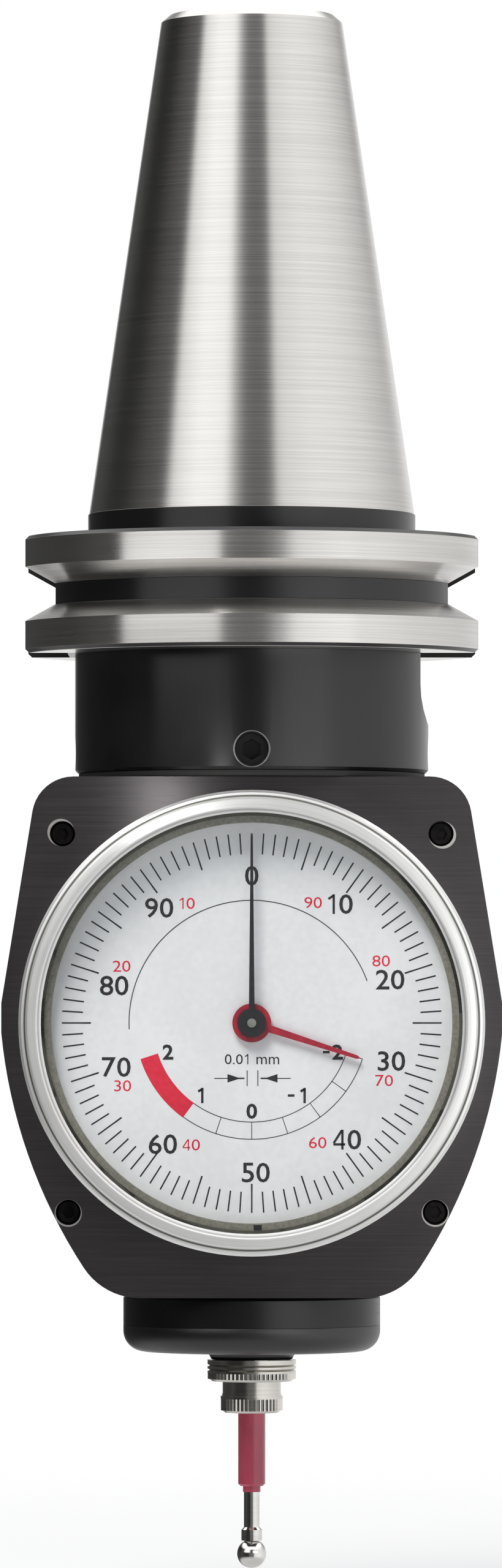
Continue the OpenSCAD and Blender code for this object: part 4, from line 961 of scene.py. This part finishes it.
black_numbers = {"0": (0, 19.7), "10": (11.6, 15.9), "20": (18.5, 5.8), "30": (18.6, -5.1),
                 "40": (12.7, -15.6), "50": (0.5, -20.0), "60": (-11.9, -16.2),
                 "70": (-18.1, -5.9), "80": (-18.4, 5.0), "90": (-12.4, 15.4)}
red_numbers = {"90": (8.2, 16.1), "80": (17.3, 8.3), "70": (17.7, -7.7), "60": (8.8, -16.0),
               "40": (-8.1, -16.3), "30": (-17.3, -8.4), "20": (-17.4, 7.6), "10": (-8.8, 16.0)}
small_numbers = {"2": (-11.2, -3.9), "1": (-6.9, -9.7), "0": (0, -11.8), "-1": (6.0, -9.7),
                 "-2": (10.7, -3.9)}
numbers = bmesh.new()
for words, (x, y) in black_numbers.items():
    number(numbers, words, 2.65, x, y)
for words, (x, y) in small_numbers.items():
    number(numbers, words, 2.05, x, y, 0.16)
on_dial(numbers)
piece("dial_numbers", numbers, "black_ink", "bezel", 0)
reverse = bmesh.new()
for words, (x, y) in red_numbers.items():
    number(reverse, words, 1.5, x, y, 0.1, 1.1)
on_dial(reverse)
piece("reverse_numbers", reverse, "red_ink", "bezel", 0)

# %% [markdown]
# ## Unit and arrows
#
# Under the hub stands what one line is worth, 0.01 mm, and a pair of arrows that point at a
# narrow gap, the usual sign for the distance between two lines. The decimal point is a small
# square. Each arrow has a hair line at its tail and a stouter shaft behind its tip, and an
# arrow head is a circle of three corners, stretched along its shaft.

# %% Unit and arrows
marks = bmesh.new()
for digit, x in (("0", -3.15), ("0", -1.65), ("1", -0.72)):
    number(marks, digit, 1.35, x, -4.85, 0.1)
rectangle(marks, -2.5, -2.3, -5.52, -5.32)
lettering(marks, "mm", 1.0, 2.15, -5.02, 0.98)
arrow_y, gap_middle, half_gap, hair = -7.4, 0.1, 0.72, 0.06
for side in (-1, 1):
    bar = gap_middle + side * half_gap
    rectangle(marks, bar - hair, bar + hair, arrow_y - 1.05, arrow_y + 1.05)
    for near, away, half in ((2.6, 4.4, hair), (0.35, 1.2, 0.1)):
        ends = sorted((bar + side * near, bar + side * away))
        rectangle(marks, *ends, arrow_y - half, arrow_y + half)
    head = bmesh.ops.create_circle(marks, cap_ends=True, segments=3, radius=1.0)["verts"]
    pointed = Matrix.Rotation(math.radians(90 if side > 0 else -90), 4, "Z")
    slender = Matrix.Diagonal((1.15, 0.66, 1, 1))
    bmesh.ops.transform(marks, verts=head, matrix=(
        Matrix.Translation((bar + side * 2.05, arrow_y, 0)) @ slender @ pointed))
on_dial(marks)
piece("unit_mark", marks, "black_ink", "bezel", 0)

# %% [markdown]
# ## Rubber boot
#
# The boot keeps coolant out where the probe enters. It grips the ring above and the stem in
# its middle, and folds in between while the probe tilts and slides. One mesh would have to
# bend over several joints at once, so it is made as the mould would split it: a shell with a
# soft round corner that stays with the housing, and a neck with a lip that moves with the
# stem and reaches over the edge of the shell. Both are outlines with rounded corners, spun
# round the probe's axis.

# %% Turned rubber
def turned(outline, rounds):
    """A closed outline of radii and heights, its corners rounded, spun round the Z axis."""
    work = bmesh.new()
    corners = [work.verts.new((radius * mm, 0, height * mm)) for radius, height in outline]
    face = work.faces.new(corners)
    for corner, radius in zip(corners, rounds):
        if radius:
            bmesh.ops.bevel(work, geom=[corner], offset=radius * mm, affect="VERTICES",
                            segments=max(2, round(radius * 5)), profile=0.5, material=-1)
    bmesh.ops.delete(work, geom=list(work.faces), context="FACES_ONLY")
    bmesh.ops.spin(work, geom=[*work.verts, *work.edges], cent=(0, 0, 0), axis=(0, 0, 1),
                   angle=math.tau, steps=128, use_merge=True)
    return work


shell = turned(
    [(11.3, -108.8), (12.88, -108.8), (12.88, ring_low), (17.5, ring_low), (17.5, -114.0),
     (8.6, -114.0), (8.6, -113.3), (16.8, -113.3), (16.8, -111.2), (11.3, -111.2)],
    [0.2, 0.1, 0, 0.12, 2.8, 0.3, 0.3, 2.1, 0.4, 0.2])
boot_shell = piece("boot_shell", shell, "boot_rubber", "housing")
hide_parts("rubber_boot")
neck = turned(
    [(5.02, -115.15), (5.5, -115.15), (6.1, -114.0), (6.0, -112.1), (9.4, -112.1),
     (9.4, -111.7), (5.02, -111.7)],
    [0.05, 0.15, 0.3, 0.8, 0.15, 0.15, 0.05])
piece("boot_neck", neck, "boot_rubber", "stylus")

# %% [markdown]
# ## Painted shade in the joint
#
# The shank can be centred on the housing with four screws, so a narrow joint stays open
# between the two. It looks black right across, so a flat dark ring is put in the joint as
# painted shade, in the colour of the rubber seals. It is four corners spun round.

# %% Joint shade ring
# painted shade: a flat dark ring fills the joint so that it reads black
band = turned([(15.3, joint_low), (23.6, joint_low), (23.6, joint_high), (15.3, joint_high)],
              [0.1] * 4)
piece("joint_shade_ring", band, "seal_rubber_and_joint_shade", "housing")

# %% [markdown]
# ## Springs
#
# Two coil springs work with the probe: a long one pushes it down, a short one brings it back
# to the middle. A coil is a small circle that spin sweeps round the axis while it climbs, and
# the closed coils at the ends are the same sweep with the climb of one wire. Neither spring
# rides on a body of the model.

# %% Coil springs
steps_a_turn = 28


def coil(mean, wire, low, high, turns):
    """A compression spring: closed coils at both ends, open coils between."""
    work = bmesh.new()
    ring = bmesh.ops.create_circle(work, segments=10, radius=wire / 2 * mm)["verts"]
    bmesh.ops.transform(work, verts=ring, matrix=(
        Matrix.Translation((mean * mm, 0, (low + wire / 2) * mm))
        @ Matrix.Rotation(math.radians(90), 4, "X")))
    front = [*ring, *{edge for vertex in ring for edge in vertex.link_edges}]
    open_turns = turns - 2
    climb = high - low - 3 * wire
    for count, rise in ((1, wire), (open_turns, climb), (1, wire)):
        steps = int(count * steps_a_turn)
        swept = bmesh.ops.spin(work, geom=front, cent=(0, 0, 0), axis=(0, 0, 1),
                               angle=math.tau * count, steps=steps,
                               dvec=(0, 0, rise * mm / steps))
        front = swept["geom_last"]
    bmesh.ops.holes_fill(work, edges=[edge for edge in work.edges if edge.is_boundary])
    return work


return_coil = piece("return_coil", coil(2.3, 0.6, -60, -46, 8), "spring_wire", None)
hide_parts("return_spring")
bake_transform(return_coil)
centring_coil = piece("centring_coil", coil(3.6, 0.7, -96.88, -93.05, 3.6), "spring_wire",
                      None)
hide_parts("centring_spring")
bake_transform(centring_coil)

# %% [markdown]
# ## Colour view
#
# The dressed part may not grow beyond its CAD box. The colours are shown as they are, without
# a film look.

# %% Close the scene
scene.view_settings.view_transform = "Standard"
